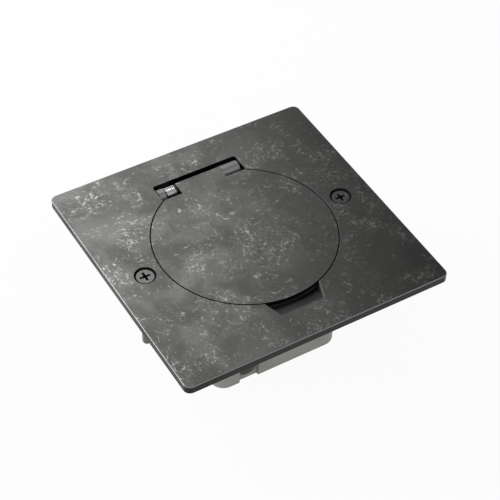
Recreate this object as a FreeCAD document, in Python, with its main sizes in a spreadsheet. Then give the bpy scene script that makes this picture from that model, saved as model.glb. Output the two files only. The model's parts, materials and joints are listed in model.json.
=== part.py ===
"""Floor socket box: square cover plate, sprung round flap lid, and a 13 A socket in a moulded well.

Frame: millimetres, +Z up. The origin lies on the housing's bottom face, under the middle of the cover plate.
+Y points at the hinge and -Y at the finger scoop. Every driving size is a cell of the sheet named sizes, and
each feature below reads it by an expression.
"""
import FreeCAD
import Part
import Sketcher
import math
import os
import re

SIZES = {
    # cover plate
    "plate_width": 120.0,
    "plate_depth": 117.0,
    "plate_thick": 3.5,
    "plate_corner": 3.0,
    "plate_chamfer": 0.3,
    "total_height": 52.5,
    # flap lid and the aperture that it closes
    "lid_radius": 38.15,
    "lid_gap": 0.55,
    "lid_thick": 3.0,
    "lid_land": 0.7,
    "lid_relief": 0.7,
    "aperture_y": 0.7,
    "tab_half": 10.5,
    "tab_back": 41.0,
    "tab_round": 0.8,
    "cutout_y": 33.9,
    # hinge slot, pin, knuckles and bracket
    "slot_half": 19.9,
    "slot_back": 43.2,
    "slot_corner": 1.3,
    "hinge_y": 39.3,
    "hinge_drop": 3.5,
    "barrel_radius": 3.4,
    "knuckle_radius": 3.2,
    "knuckle_gap": 0.3,
    "pin_radius": 1.5,
    "pin_play": 0.05,
    "ear_outer": 19.4,
    "ear_thick": 2.9,
    "barrel_outer": 18.9,
    "web_half": 2.4,
    "base_gap": 0.4,
    "base_thick": 1.5,
    "bracket_half": 29.0,
    "bracket_front": 4.1,
    "bracket_back": 5.2,
    "boss_length": 8.4,
    "boss_screw_inset": 4.0,
    "boss_screw_back": 1.3,
    # torsion spring on the hinge pin
    "coil_radius": 2.4,
    "coil_wire": 0.75,
    "coil_turns": 6.0,
    "coil_end_gap": 0.3,
    "leg_length": 4.4,
    "hook_length": 1.9,
    "hook_play": 0.1,
    # finger scoop
    "scoop_start": 36.0,
    "scoop_end": 44.9,
    "scoop_half": 12.6,
    "scoop_tip_half": 9.6,
    "scoop_depth": 2.9,
    "scoop_tip_depth": 0.3,
    "scoop_lean": 1.8,
    # long plate screws
    "screw_pitch": 92.2,
    "screw_y": 0.4,
    "screw_radius": 2.0,
    "screw_hole_play": 0.25,
    "screw_length": 40.0,
    "sink_radius": 4.5,
    "head_radius": 3.9,
    "neck_radius": 1.8,
    "neck_length": 6.4,
    "point_length": 1.2,
    # small screws
    "small_radius": 1.25,
    "small_head": 2.2,
    "small_head_thick": 1.5,
    "small_bite": 2.2,
    "small_play": 0.1,
    # rubber gasket under the plate's rim
    "gasket_inset": 2.5,
    "gasket_width": 4.0,
    "gasket_thick": 1.2,
    # housing
    "flange_radius": 43.2,
    "flange_thick": 3.0,
    "flange_screw_inset": 2.3,
    "flange_screw_angle": 36.0,
    "notch_half": 29.6,
    "notch_gap": 0.3,
    "ledge_drop": 0.6,
    "well_radius": 31.5,
    "well_wall": 2.5,
    "well_depth": 11.5,
    "well_floor": 4.5,
    "spigot_height": 2.0,
    "spigot_play": 0.1,
    "bead_rise": 0.3,
    "bead_height": 0.6,
    "bead_drop": 0.8,
    "housing_side": 58.6,
    "housing_corner": 6.0,
    "housing_wall": 2.2,
    "housing_floor": 1.8,
    "throat_half": 24.0,
    "throat_corner": 7.0,
    "post_side": 7.0,
    "foot_chamfer": 0.7,
    "groove_x": 14.35,
    "groove_width": 9.1,
    "groove_depth": 1.7,
    "groove_height": 30.0,
    "groove_backing": 2.0,
    "entry_radius": 4.5,
    "entry_height": 6.4,
    # lid seal
    "seal_inset": 0.2,
    "seal_width": 2.0,
    "seal_gap": 0.2,
    # socket face
    "face_play": 0.3,
    "face_thick": 3.0,
    "face_chamfer": 0.5,
    "face_screw_x": 27.6,
    "face_screw_depth": 4.2,
    "face_head": 2.6,
    "pin_pitch": 22.2,
    "pole_y": 10.4,
    "pole_slot_width": 7.0,
    "earth_slot_length": 8.6,
    "slot_width": 4.6,
    # shutter
    "shutter_thick": 2.0,
    "shutter_play": 0.15,
    "shutter_travel": 5.5,
    "shutter_cover": 0.7,
    "stem_half": 5.0,
    "stem_end": 1.6,
    "window_half": 2.5,
    "ramp_rise": 1.4,
    "peg_radius": 0.75,
    "peg_length": 2.5,
    "peg_drop": 0.5,
    "return_radius": 1.3,
    "return_wire": 0.4,
    "return_turns": 7.0,
    # carrier, contacts and terminals
    "carrier_play": 0.5,
    "carrier_height": 19.7,
    "rail_width": 2.0,
    "rail_play": 0.3,
    "trough_half": 1.8,
    "trough_depth": 1.3,
    "trough_end": 22.4,
    "pocket_side": 3.9,
    "pocket_half": 3.6,
    "earth_pocket_side": 4.9,
    "contact_gap": 3.5,
    "contact_sheet": 0.7,
    "contact_flare": 1.0,
    "contact_lip": 2.5,
    "contact_sink": 1.7,
    "contact_depth": 17.0,
    "pole_contact_width": 6.2,
    "earth_contact_width": 7.8,
    "terminal_width": 8.0,
    "terminal_depth": 7.0,
    "terminal_height": 9.0,
    "wire_radius": 1.8,
    "wire_depth": 7.0,
    "clamp_radius": 1.6,
    "clamp_head": 2.7,
    "clamp_head_thick": 1.8,
    "clamp_play": 0.1,
}

# heights above the housing's bottom and places that several sub-parts share
PLATE_UNDER = "(total_height - plate_thick)"
LID_UNDER = "(total_height - lid_thick)"
APERTURE_RADIUS = "(lid_radius + lid_gap)"
FLANGE_UNDER = f"({PLATE_UNDER} - flange_thick)"
LEDGE = f"({PLATE_UNDER} - ledge_drop)"
WELL_UNDER = "(total_height - well_depth - well_floor)"
BACK_INNER = "(housing_side / 2 - housing_wall)"
AXIS_HEIGHT = "(total_height - hinge_drop)"
FACE_UNDER = "(total_height - well_depth)"
CARRIER_TOP = f"({FACE_UNDER} - shutter_thick - 2 * shutter_play)"
CARRIER_UNDER = f"({CARRIER_TOP} - carrier_height)"
CARRIER_HALF = "(throat_half - carrier_play)"
CONTACT_UNDER = f"({CARRIER_TOP} - contact_sink - contact_depth)"
EARTH_Y = "(pin_pitch - pole_y)"
BASE_TOP = "(-barrel_radius - base_gap)"
BOSS_TOP = "(hinge_drop - plate_thick)"
BOSS_SCREW_X = "(bracket_half - boss_screw_inset)"
FLANGE_SCREW_X = "((flange_radius - flange_screw_inset) * cos(flange_screw_angle))"
FLANGE_SCREW_Y = "((flange_radius - flange_screw_inset) * sin(flange_screw_angle))"
BAR_FRONT = "(-pole_y - slot_width / 2 - shutter_cover)"
BAR_BACK = "(-pole_y + slot_width / 2 + shutter_cover)"

SMALL_HOLE = "(small_radius + small_play)"

# straight pieces in each turn of a spring, and flats around its wire
COIL_STEPS = 10
WIRE_SIDES = 6

document = FreeCAD.newDocument("floor_socket_box")


# ---------------------------------------------------------------- sheet and formulas
def make_sheet():
    """Writes every driving size into the spreadsheet, each with its alias."""
    sheet = document.addObject("Spreadsheet::Sheet", "sizes")
    for row, (alias, value) in enumerate(SIZES.items(), start=1):
        sheet.set(f"A{row}", alias)
        sheet.set(f"B{row}", str(value))
        sheet.setAlias(f"B{row}", alias)
    document.recompute()
    return sheet


sizes = make_sheet()


def formula(words):
    """Points each size named in a formula at its cell of the sheet."""
    return re.sub(r"[a-z_]+", lambda found: f"sizes.{found[0]}" if found[0] in SIZES else found[0], words)


def bind(target, path, words):
    """Ties one property or constraint of an object to a formula of sizes."""
    target.setExpression(path, formula(words))


def place(target, x="0", y="0", z="0", turn=None):
    """Puts an object at a place worked out from sizes, turned about one axis when asked."""
    if turn:
        axis, degrees = turn
        rotation = FreeCAD.Rotation(FreeCAD.Vector(*axis), degrees)
        target.Placement = FreeCAD.Placement(FreeCAD.Vector(), rotation)
    for name, words in zip("xyz", (x, y, z)):
        bind(target, f".Placement.Base.{name}", words)


# ---------------------------------------------------------------- bodies, sketches and features
def new_body(label, x="0", y="0", z="0", turn=None):
    """Starts a sub-part's body in its own place."""
    body = document.addObject("PartDesign::Body", label)
    body.Label = label
    body.AllowCompound = True
    place(body, x, y, z, turn)
    return body


def origin_plane(body, role):
    """Finds one of a body's own origin planes by its role."""
    return next(item for item in body.Origin.OriginFeatures if item.Role == role)


def new_sketch(body, plane="XY_Plane", x="0", y="0", z="0"):
    """Attaches a sketch to a body's plane; x and y shift it in that plane and z along its normal."""
    sketch = body.newObject("Sketcher::SketchObject", f"{body.Label}_sketch")
    sketch.AttachmentSupport = [(origin_plane(body, plane), "")]
    sketch.MapMode = "FlatFace"
    for name, words in zip("xyz", (x, y, z)):
        bind(sketch, f".AttachmentOffset.Base.{name}", words)
    return sketch


def fix_point(sketch, geometry, end, across, up):
    """Holds one point of the sketch at a distance across and up from its origin."""
    for kind, words in (("DistanceX", across), ("DistanceY", up)):
        index = sketch.addConstraint(Sketcher.Constraint(kind, -1, 1, geometry, end, 1.0))
        bind(sketch, f"Constraints[{index}]", words)


def polygon(sketch, corners):
    """Closes straight lines through corners, each a pair of formulas."""
    count = len(corners)
    first = sketch.GeometryCount
    turns = [2 * math.pi * index / count for index in range(count + 1)]
    rough = [FreeCAD.Vector(10 * math.cos(turn), 10 * math.sin(turn), 0) for turn in turns]
    for start, end in zip(rough, rough[1:]):
        sketch.addGeometry(Part.LineSegment(start, end))
    for index in range(count):
        following = first + (index + 1) % count
        sketch.addConstraint(Sketcher.Constraint("Coincident", first + index, 2, following, 1))
    for index, (across, up) in enumerate(corners):
        fix_point(sketch, first + index, 1, across, up)
    return sketch


def rectangle(sketch, left, right, low, high):
    """Draws an upright rectangle between four formulas."""
    return polygon(sketch, [(left, low), (right, low), (right, high), (left, high)])


def square(sketch, half):
    """Draws a square about the sketch's origin."""
    return rectangle(sketch, f"-{half}", half, f"-{half}", half)


def cut_corner_square(sketch, half, corner):
    """Draws a square about the sketch's origin with its corners cut at 45 degrees."""
    near = f"({half} - {corner})"
    steps = [(half, near), (near, half)]
    corners = []
    for across_sign, up_sign in (("", ""), ("-", ""), ("-", "-"), ("", "-")):
        pair = [(f"{across_sign}{across}", f"{up_sign}{up}") for across, up in steps]
        corners += pair if across_sign == up_sign else pair[::-1]
    return polygon(sketch, corners)


def circle(sketch, radius, across="0", up="0"):
    """Draws a circle about a point of the sketch."""
    rough = Part.Circle(FreeCAD.Vector(1, 1, 0), FreeCAD.Vector(0, 0, 1), 1.0)
    index = sketch.addGeometry(rough)
    limit = sketch.addConstraint(Sketcher.Constraint("Radius", index, 1.0))
    bind(sketch, f"Constraints[{limit}]", radius)
    fix_point(sketch, index, 3, across, up)
    return sketch


def volume_after(body):
    """Recomputes the document and gives the body's volume."""
    document.recompute()
    return body.Shape.Volume


def pad(body, sketch, length, both=False, down=False):
    """Adds material along the sketch's normal, to both sides or against the normal when asked."""
    feature = body.newObject("PartDesign::Pad", f"{body.Label}_pad")
    feature.Profile = sketch
    feature.SideType = "Symmetric" if both else "One side"
    feature.Reversed = down
    bind(feature, "Length", length)
    sketch.Visibility = False
    volume_after(body)
    return feature


def pocket(body, sketch, depth=None, along=False):
    """Cuts against the sketch's normal, or along it when asked; with no depth it cuts through all."""
    before = volume_after(body)
    feature = body.newObject("PartDesign::Pocket", f"{body.Label}_pocket")
    feature.Profile = sketch
    feature.Reversed = along
    if depth is None:
        feature.SideType = "Symmetric"
        feature.Type = "ThroughAll"
    else:
        bind(feature, "Length", depth)
    sketch.Visibility = False
    if volume_after(body) >= before:
        raise RuntimeError(f"a pocket of {body.Label} cuts nothing")
    return feature


def revolve(body, sketch, axis="V_Axis", cut=False):
    """Turns a profile a full turn about an axis of its sketch, to add or to cut."""
    before = volume_after(body) if cut else 0.0
    kind = "PartDesign::Groove" if cut else "PartDesign::Revolution"
    feature = body.newObject(kind, f"{body.Label}_turned")
    feature.Profile = sketch
    feature.ReferenceAxis = (sketch, [axis])
    feature.Angle = 360.0
    sketch.Visibility = False
    if cut and volume_after(body) >= before:
        raise RuntimeError(f"a groove of {body.Label} cuts nothing")
    return feature


def mirror_across_x(body, feature):
    """Repeats a feature on the other side of the body's YZ plane."""
    mirrored = body.newObject("PartDesign::Mirrored", f"{body.Label}_mirrored")
    mirrored.Originals = [feature]
    mirrored.MirrorPlane = (origin_plane(body, "YZ_Plane"), [""])
    body.Tip = mirrored
    document.recompute()
    return mirrored


def soften(body, kind, amount, chosen):
    """Fillets or chamfers the edges of the body's tip that a test chooses."""
    document.recompute()
    base = body.Tip
    names = [f"Edge{index}" for index, edge in enumerate(base.Shape.Edges, start=1) if chosen(edge)]
    if not names:
        raise RuntimeError(f"no edge of {body.Label} to soften")
    feature = body.newObject(f"PartDesign::{kind}", f"{body.Label}_{kind.lower()}")
    feature.Base = (base, names)
    bind(feature, "Radius" if kind == "Fillet" else "Size", amount)
    document.recompute()
    return feature


def is_upright(edge):
    """Tells whether an edge is a straight line along Z."""
    span = edge.BoundBox
    return span.XLength < 1e-6 and span.YLength < 1e-6


def lies_at(height):
    """Makes a test for edges that lie flat at one height of the body."""
    return lambda edge: edge.BoundBox.ZLength < 1e-6 and abs(edge.BoundBox.ZMin - height) < 1e-6


def upright_at(across, depth):
    """Makes a test for upright edges at plus or minus one distance across and at one depth."""
    def chosen(edge):
        span = edge.BoundBox
        return is_upright(edge) and abs(abs(span.XMin) - across) < 1e-3 and abs(span.YMin - depth) < 1e-3
    return chosen


# ---------------------------------------------------------------- places that several sub-parts share
def flange_screw_places():
    """Gives the four screw places on the well's flange."""
    rows = (f"(aperture_y + {FLANGE_SCREW_Y})", f"(aperture_y - {FLANGE_SCREW_Y})")
    return [(f"{side}{FLANGE_SCREW_X}", row) for side in ("", "-") for row in rows]


def bracket_screw_places():
    """Gives the two screw places on the hinge bracket's end bosses."""
    return [(f"{side}{BOSS_SCREW_X}", "(hinge_y + boss_screw_back)") for side in ("", "-")]


# ---------------------------------------------------------------- cover plate and gasket
def make_cover_plate():
    """Square plate with the round aperture, the hinge slot, the finger scoop and the screw holes."""
    body = new_body("cover_plate", z="total_height")
    half = ("plate_width / 2", "plate_depth / 2")
    outline = rectangle(new_sketch(body), f"-{half[0]}", half[0], f"-{half[1]}", half[1])
    pad(body, outline, "plate_thick", down=True)
    soften(body, "Fillet", "plate_corner", is_upright)
    soften(body, "Chamfer", "plate_chamfer", lies_at(0.0))
    pocket(body, circle(new_sketch(body), APERTURE_RADIUS, "0", "aperture_y"))
    slot = rectangle(new_sketch(body), "-slot_half", "slot_half", "aperture_y", "slot_back")
    pocket(body, slot)
    soften(body, "Fillet", "slot_corner", upright_at(sizes.slot_half, sizes.slot_back))
    cut_scoop(body)
    sink = new_sketch(body, "XZ_Plane", x="screw_pitch / 2", z="-screw_y")
    hole = "(screw_radius + screw_hole_play)"
    polygon(sink, [
        ("0", "0"),
        ("sink_radius", "0"),
        (hole, f"-(sink_radius - {hole})"),
        (hole, "-plate_thick - 1"),
        ("0", "-plate_thick - 1"),
    ])
    mirror_across_x(body, revolve(body, sink, cut=True))
    taps = new_sketch(body, z="-plate_thick")
    for x, y in [*flange_screw_places(), *bracket_screw_places()]:
        circle(taps, SMALL_HOLE, x, y)
    pocket(body, taps, "small_bite + small_play", along=True)
    return body


def cut_scoop(body):
    """Cuts the sloping finger scoop, deepest at the aperture, as a loft between two sections."""
    sections = []
    stations = (
        ("scoop_start", "scoop_half", "scoop_depth", "scoop_lean"),
        ("scoop_end", "scoop_tip_half", "scoop_tip_depth", "scoop_lean * scoop_tip_depth / scoop_depth"),
    )
    for distance, half, depth, lean in stations:
        section = new_sketch(body, "XZ_Plane", z=distance)
        polygon(section, [
            (f"-{half}", "0"),
            (f"{half}", "0"),
            (f"{half} - {lean}", f"-{depth}"),
            (f"-{half} + {lean}", f"-{depth}"),
        ])
        section.Visibility = False
        sections.append(section)
    before = volume_after(body)
    scoop = body.newObject("PartDesign::SubtractiveLoft", "scoop")
    scoop.Profile = sections[0]
    scoop.Sections = sections[1:]
    scoop.Ruled = True
    if volume_after(body) >= before:
        raise RuntimeError("the scoop cuts nothing")


def make_floor_gasket():
    """Flat rubber frame under the plate's rim, whose underside lies on the floor box's edge."""
    body = new_body("floor_gasket", z=f"{PLATE_UNDER} - gasket_thick")
    frame = new_sketch(body)
    for inset in ("gasket_inset", "(gasket_inset + gasket_width)"):
        wide = f"(plate_width / 2 - {inset})"
        deep = f"(plate_depth / 2 - {inset})"
        rectangle(frame, f"-{wide}", wide, f"-{deep}", deep)
    pad(body, frame, "gasket_thick")
    return body


# ---------------------------------------------------------------- lid, hinge and its spring
def make_flap_lid():
    """Round lid with a relieved edge, a tab between two cut-outs, and the hinge knuckle under the tab."""
    body = new_body("flap_lid", y="aperture_y", z="total_height")
    profile = polygon(new_sketch(body, "XZ_Plane"), [
        ("0", "0"),
        ("lid_radius", "0"),
        ("lid_radius", "-lid_land"),
        ("lid_radius - lid_relief", "-lid_thick"),
        ("0", "-lid_thick"),
    ])
    revolve(body, profile)
    document.recompute()
    cutouts = new_sketch(body)
    reach = "(lid_radius + 1)"
    rectangle(cutouts, "tab_half", reach, "cutout_y - aperture_y", reach)
    rectangle(cutouts, f"-{reach}", "-tab_half", "cutout_y - aperture_y", reach)
    pocket(body, cutouts)
    tab = rectangle(new_sketch(body), "-tab_half", "tab_half", "aperture_y", "tab_back - aperture_y")
    pad(body, tab, "lid_thick", down=True)
    back = sizes.tab_back - sizes.aperture_y
    top_back = lies_at(0.0)
    soften(body, "Fillet", "tab_round", lambda edge: top_back(edge) and abs(edge.BoundBox.YMin - back) < 1e-6)
    knuckle = circle(new_sketch(body, "YZ_Plane"), "knuckle_radius", "hinge_y - aperture_y", "-hinge_drop")
    pad(body, knuckle, "2 * tab_half", both=True)
    bore = new_sketch(body, "YZ_Plane")
    pocket(body, circle(bore, "pin_radius + pin_play", "hinge_y - aperture_y", "-hinge_drop"))
    hook = new_sketch(body, "YZ_Plane", z="-tab_half")
    circle(hook, "coil_wire / 2 + hook_play", "hinge_y - aperture_y", "-hinge_drop - coil_radius")
    pocket(body, hook, "hook_length + hook_play", along=True)
    return body


def make_hinge_bracket():
    """Cast bracket: base under the slot, end bosses, and an ear and a barrel that hold the pin."""
    body = new_body("hinge_bracket", y="hinge_y", z=AXIS_HEIGHT)
    base = new_sketch(body, z=BASE_TOP)
    rectangle(base, "-bracket_half", "bracket_half", "-bracket_front", "bracket_back")
    pad(body, base, "base_thick", down=True)
    bosses = new_sketch(body, z=BOSS_TOP)
    inner = "(bracket_half - boss_length)"
    rectangle(bosses, inner, "bracket_half", "-bracket_front + 1", "bracket_back")
    rectangle(bosses, "-bracket_half", f"-{inner}", "-bracket_front + 1", "bracket_back")
    pad(body, bosses, f"{BOSS_TOP} - {BASE_TOP} + base_thick / 2", down=True)
    barrel_inner = "(tab_half + knuckle_gap)"
    spans = (
        (barrel_inner, f"barrel_outer - {barrel_inner}"),
        ("-ear_outer", "ear_thick"),
    )
    for start, length in spans:
        pad(body, circle(new_sketch(body, "YZ_Plane", z=start), "barrel_radius"), length)
        web = new_sketch(body, "YZ_Plane", z=start)
        rectangle(web, "-web_half", "web_half", f"{BASE_TOP} - base_thick / 2", "0")
        pad(body, web, length)
    pocket(body, circle(new_sketch(body, "YZ_Plane"), "pin_radius"))
    holes = new_sketch(body)
    for side in ("", "-"):
        circle(holes, SMALL_HOLE, f"{side}{BOSS_SCREW_X}", "boss_screw_back")
    pocket(body, holes)
    return body


def make_hinge_pin():
    """Plain steel pin, flush with the ear and the barrel."""
    pin = document.addObject("Part::Cylinder", "hinge_pin")
    pin.Label = "hinge_pin"
    bind(pin, "Radius", "pin_radius")
    bind(pin, "Height", "ear_outer + barrel_outer")
    place(pin, x="-ear_outer", y="hinge_y", z=AXIS_HEIGHT, turn=((0, 1, 0), 90))
    return pin


def coil_points(radius, wire, turns, length):
    """Gives points along a coil about Z, from the X axis at the bottom to its top."""
    rise = length - wire
    steps = round(turns * COIL_STEPS)
    points = []
    for share in [step / steps for step in range(steps + 1)]:
        angle = 2 * math.pi * turns * share
        height = wire / 2 + rise * share
        points.append(FreeCAD.Vector(radius * math.cos(angle), radius * math.sin(angle), height))
    return points


def bent_wire(points, radius):
    """Sweeps a wire of a few flats along straight pieces between points, mitred at each bend."""
    path = Part.makePolygon(points)
    rim = Part.makeCircle(radius, points[0], points[1] - points[0])
    corners = rim.discretize(WIRE_SIDES + 1)
    return path.makePipeShell([Part.makePolygon(corners)], True, False, 1)


def new_spring(label, points, radius):
    """Adds a wire spring to the document as a sub-part of its own."""
    feature = document.addObject("Part::Feature", label)
    feature.Label = label
    feature.Shape = bent_wire(points, radius)
    return feature


def make_hinge_spring():
    """Torsion spring about the pin: one leg lies on the bracket's base, one hook enters the lid's knuckle."""
    wire = sizes.coil_wire
    radius = sizes.coil_radius
    length = sizes.ear_outer - sizes.ear_thick - sizes.tab_half - 2 * sizes.coil_end_gap
    drop = sizes.barrel_radius + sizes.base_gap - radius - wire / 2
    leg = FreeCAD.Vector(radius + drop, -math.sqrt(sizes.leg_length ** 2 - drop ** 2), wire / 2)
    hook = FreeCAD.Vector(radius, 0, length + sizes.coil_end_gap + sizes.hook_length)
    points = [leg, *coil_points(radius, wire, sizes.coil_turns, length), hook]
    spring = new_spring("hinge_spring", points, wire / 2)
    place(spring, x="-ear_outer + ear_thick + coil_end_gap", y="hinge_y", z=AXIS_HEIGHT, turn=((0, 1, 0), 90))
    return spring


# ---------------------------------------------------------------- screws
def sunk_outline(head, shank, length):
    """Half outline of a countersunk screw that hangs from its head's top."""
    return [
        ("0", "0"),
        (head, "0"),
        (shank, f"-({head} - {shank})"),
        (shank, f"-{length}"),
        ("0", f"-{length}"),
    ]


def flat_outline(head, shank, length):
    """Half outline of a flat-headed screw that hangs from its head's top."""
    return [
        ("0", "0"),
        (head, "0"),
        (head, "-small_head_thick"),
        (shank, "-small_head_thick"),
        (shank, f"-{length}"),
        ("0", f"-{length}"),
    ]


def make_screws(label, places, z, outline, upward=False):
    """Makes a set of like screws, hanging from their heads or pointing up, one solid at each place."""
    body = new_body(label, z=z, turn=((1, 0, 0), 180) if upward else None)
    for x, y in places:
        sketch = new_sketch(body, "XZ_Plane", x=x, z=y if upward else f"-({y})")
        revolve(body, polygon(sketch, outline))
    return body


def make_plate_screws():
    """Two long countersunk M4 screws with a plain neck, which reach down to the floor box's lugs."""
    places = [(f"{side}screw_pitch / 2", "screw_y") for side in ("", "-")]
    sunk = "total_height - (sink_radius - head_radius)"
    outline = [
        ("0", "0"),
        ("head_radius", "0"),
        ("neck_radius", "-(head_radius - neck_radius)"),
        ("neck_radius", "-neck_length"),
        ("screw_radius", "-neck_length - (screw_radius - neck_radius)"),
        ("screw_radius", "-screw_length + point_length"),
        ("screw_radius - point_length / 2", "-screw_length"),
        ("0", "-screw_length"),
    ]
    return make_screws("plate_screws", places, sunk, outline)


def make_bracket_screws():
    """Two screws up through the bracket's end bosses into the plate."""
    under = f"{AXIS_HEIGHT} + {BASE_TOP} - base_thick - small_head_thick"
    length = f"({BOSS_TOP} - {BASE_TOP} + base_thick + small_head_thick + small_bite)"
    outline = flat_outline("small_head", "small_radius", length)
    return make_screws("bracket_screws", bracket_screw_places(), under, outline, upward=True)


def make_housing_screws():
    """Four screws up through the well's flange into the plate."""
    under = f"{FLANGE_UNDER} - small_head_thick"
    outline = flat_outline("small_head", "small_radius", "(flange_thick + small_head_thick + small_bite)")
    return make_screws("housing_screws", flange_screw_places(), under, outline, upward=True)


def make_face_screws():
    """Two countersunk screws that hold the socket face on the well's floor."""
    places = [(f"{side}face_screw_x", "aperture_y") for side in ("", "-")]
    outline = sunk_outline("face_head", "small_radius", "(face_thick + face_screw_depth)")
    return make_screws("face_screws", places, f"{FACE_UNDER} + face_thick", outline)


# ---------------------------------------------------------------- housing and seal
def make_socket_well():
    """Grey moulding under the plate: flange, round well, and a square spigot for the housing to snap on."""
    body = new_body("socket_well")
    cup = circle(new_sketch(body, z=WELL_UNDER), "well_radius + well_wall", "0", "aperture_y")
    pad(body, cup, f"{LEDGE} - {WELL_UNDER}")
    flange = circle(new_sketch(body, z=FLANGE_UNDER), "flange_radius", "0", "aperture_y")
    pad(body, flange, "flange_thick")
    spigot = f"({BACK_INNER} - spigot_play)"
    pad(body, square(new_sketch(body, z=WELL_UNDER), spigot), "spigot_height", down=True)
    bead = square(new_sketch(body, z=f"{WELL_UNDER} - bead_drop"), f"({spigot} + bead_rise)")
    pad(body, bead, "bead_height", down=True)
    notch = new_sketch(body, z=PLATE_UNDER)
    front = "(hinge_y - bracket_front - notch_gap)"
    rectangle(notch, "-notch_half", "notch_half", front, "flange_radius + aperture_y + 1")
    pocket(body, notch, "flange_thick")
    pocket(body, circle(new_sketch(body, z=PLATE_UNDER), APERTURE_RADIUS, "0", "aperture_y"), "ledge_drop")
    well = circle(new_sketch(body, z=PLATE_UNDER), "well_radius", "0", "aperture_y")
    pocket(body, well, f"{PLATE_UNDER} - {FACE_UNDER}")
    throat = cut_corner_square(new_sketch(body, z=FACE_UNDER), "throat_half", "throat_corner")
    pocket(body, throat, "well_floor + spigot_height")
    holes = new_sketch(body, z=PLATE_UNDER)
    for x, y in flange_screw_places():
        circle(holes, SMALL_HOLE, x, y)
    pocket(body, holes, "flange_thick")
    taps = new_sketch(body, z=FACE_UNDER)
    for side in ("", "-"):
        circle(taps, SMALL_HOLE, f"{side}face_screw_x", "aperture_y")
    pocket(body, taps, "face_screw_depth + small_play")
    return body


def make_housing():
    """Grey square back box: thin walls, a post in each corner, a groove and a cable entry in its front."""
    body = new_body("housing")
    pad(body, square(new_sketch(body), "housing_side / 2"), WELL_UNDER)
    soften(body, "Fillet", "housing_corner", is_upright)
    soften(body, "Chamfer", "foot_chamfer", lies_at(0.0))
    post = f"({BACK_INNER} - post_side)"
    low = new_sketch(body, z="housing_floor")
    polygon(low, [
        (f"-{BACK_INNER}", f"-{post}"), (f"-{post}", f"-{post}"), (f"-{post}", f"-{BACK_INNER}"),
        (post, f"-{BACK_INNER}"), (post, f"-{post}"), (BACK_INNER, f"-{post}"),
        (BACK_INNER, post), (post, post), (post, BACK_INNER),
        (f"-{post}", BACK_INNER), (f"-{post}", post), (f"-{BACK_INNER}", post),
    ])
    pocket(body, low, f"{CARRIER_UNDER} - housing_floor", along=True)
    high = square(new_sketch(body, z=CARRIER_UNDER), BACK_INNER)
    pocket(body, high, f"{WELL_UNDER} - {CARRIER_UNDER}", along=True)
    recess = new_sketch(body, z=f"{WELL_UNDER} - bead_drop + spigot_play")
    square(recess, f"({BACK_INNER} + bead_rise)")
    pocket(body, recess, "bead_height + 2 * spigot_play")
    cut_cable_entry(body)
    return body


def cut_cable_entry(body):
    """Adds the backing inside the front wall, then cuts the upright groove and the round cable entry."""
    face = "housing_side / 2"
    left = "(-groove_x - groove_width / 2)"
    right = "(-groove_x + groove_width / 2)"
    backing = new_sketch(body, "XZ_Plane", z=f"{face} - housing_wall")
    edge = "groove_backing"
    sides = (f"{left} - {edge}", f"{right} + {edge}")
    rectangle(backing, *sides, "housing_floor / 2", f"groove_height + {edge}")
    pad(body, backing, "groove_backing", down=True)
    groove = new_sketch(body, "XZ_Plane", z=face)
    rectangle(groove, left, right, "-1", "groove_height")
    pocket(body, groove, "groove_depth")
    entry = circle(new_sketch(body, "XZ_Plane", z=face), "entry_radius", "-groove_x", "entry_height")
    pocket(body, entry, "housing_wall + groove_backing")


def make_lid_seal():
    """Rubber ring on the well's ledge, just under the shut lid."""
    body = new_body("lid_seal", y="aperture_y", z=LEDGE)
    ring = new_sketch(body)
    circle(ring, "well_radius + seal_inset")
    circle(ring, "well_radius + seal_inset + seal_width")
    pad(body, ring, f"{LID_UNDER} - {LEDGE} - seal_gap")
    return body


# ---------------------------------------------------------------- socket face and shutter
def make_socket_face():
    """Round moulded face with two line apertures, an earth aperture and two countersunk screw holes."""
    body = new_body("socket_face", z=FACE_UNDER)
    pad(body, circle(new_sketch(body), "well_radius - face_play", "0", "aperture_y"), "face_thick")
    soften(body, "Chamfer", "face_chamfer", lies_at(sizes.face_thick))
    slots = new_sketch(body)
    for middle in ("pin_pitch / 2", "-pin_pitch / 2"):
        rectangle(slots, f"{middle} - pole_slot_width / 2", f"{middle} + pole_slot_width / 2",
                  "-pole_y - slot_width / 2", "-pole_y + slot_width / 2")
    rectangle(slots, "-slot_width / 2", "slot_width / 2",
              f"{EARTH_Y} - earth_slot_length / 2", f"{EARTH_Y} + earth_slot_length / 2")
    pocket(body, slots)
    sink = new_sketch(body, "XZ_Plane", x="face_screw_x", z="-aperture_y")
    polygon(sink, [
        ("0", "face_thick"),
        ("face_head", "face_thick"),
        (SMALL_HOLE, f"face_thick - (face_head - {SMALL_HOLE})"),
        (SMALL_HOLE, "-1"),
        ("0", "-1"),
    ])
    mirror_across_x(body, revolve(body, sink, cut=True))
    return body


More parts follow.
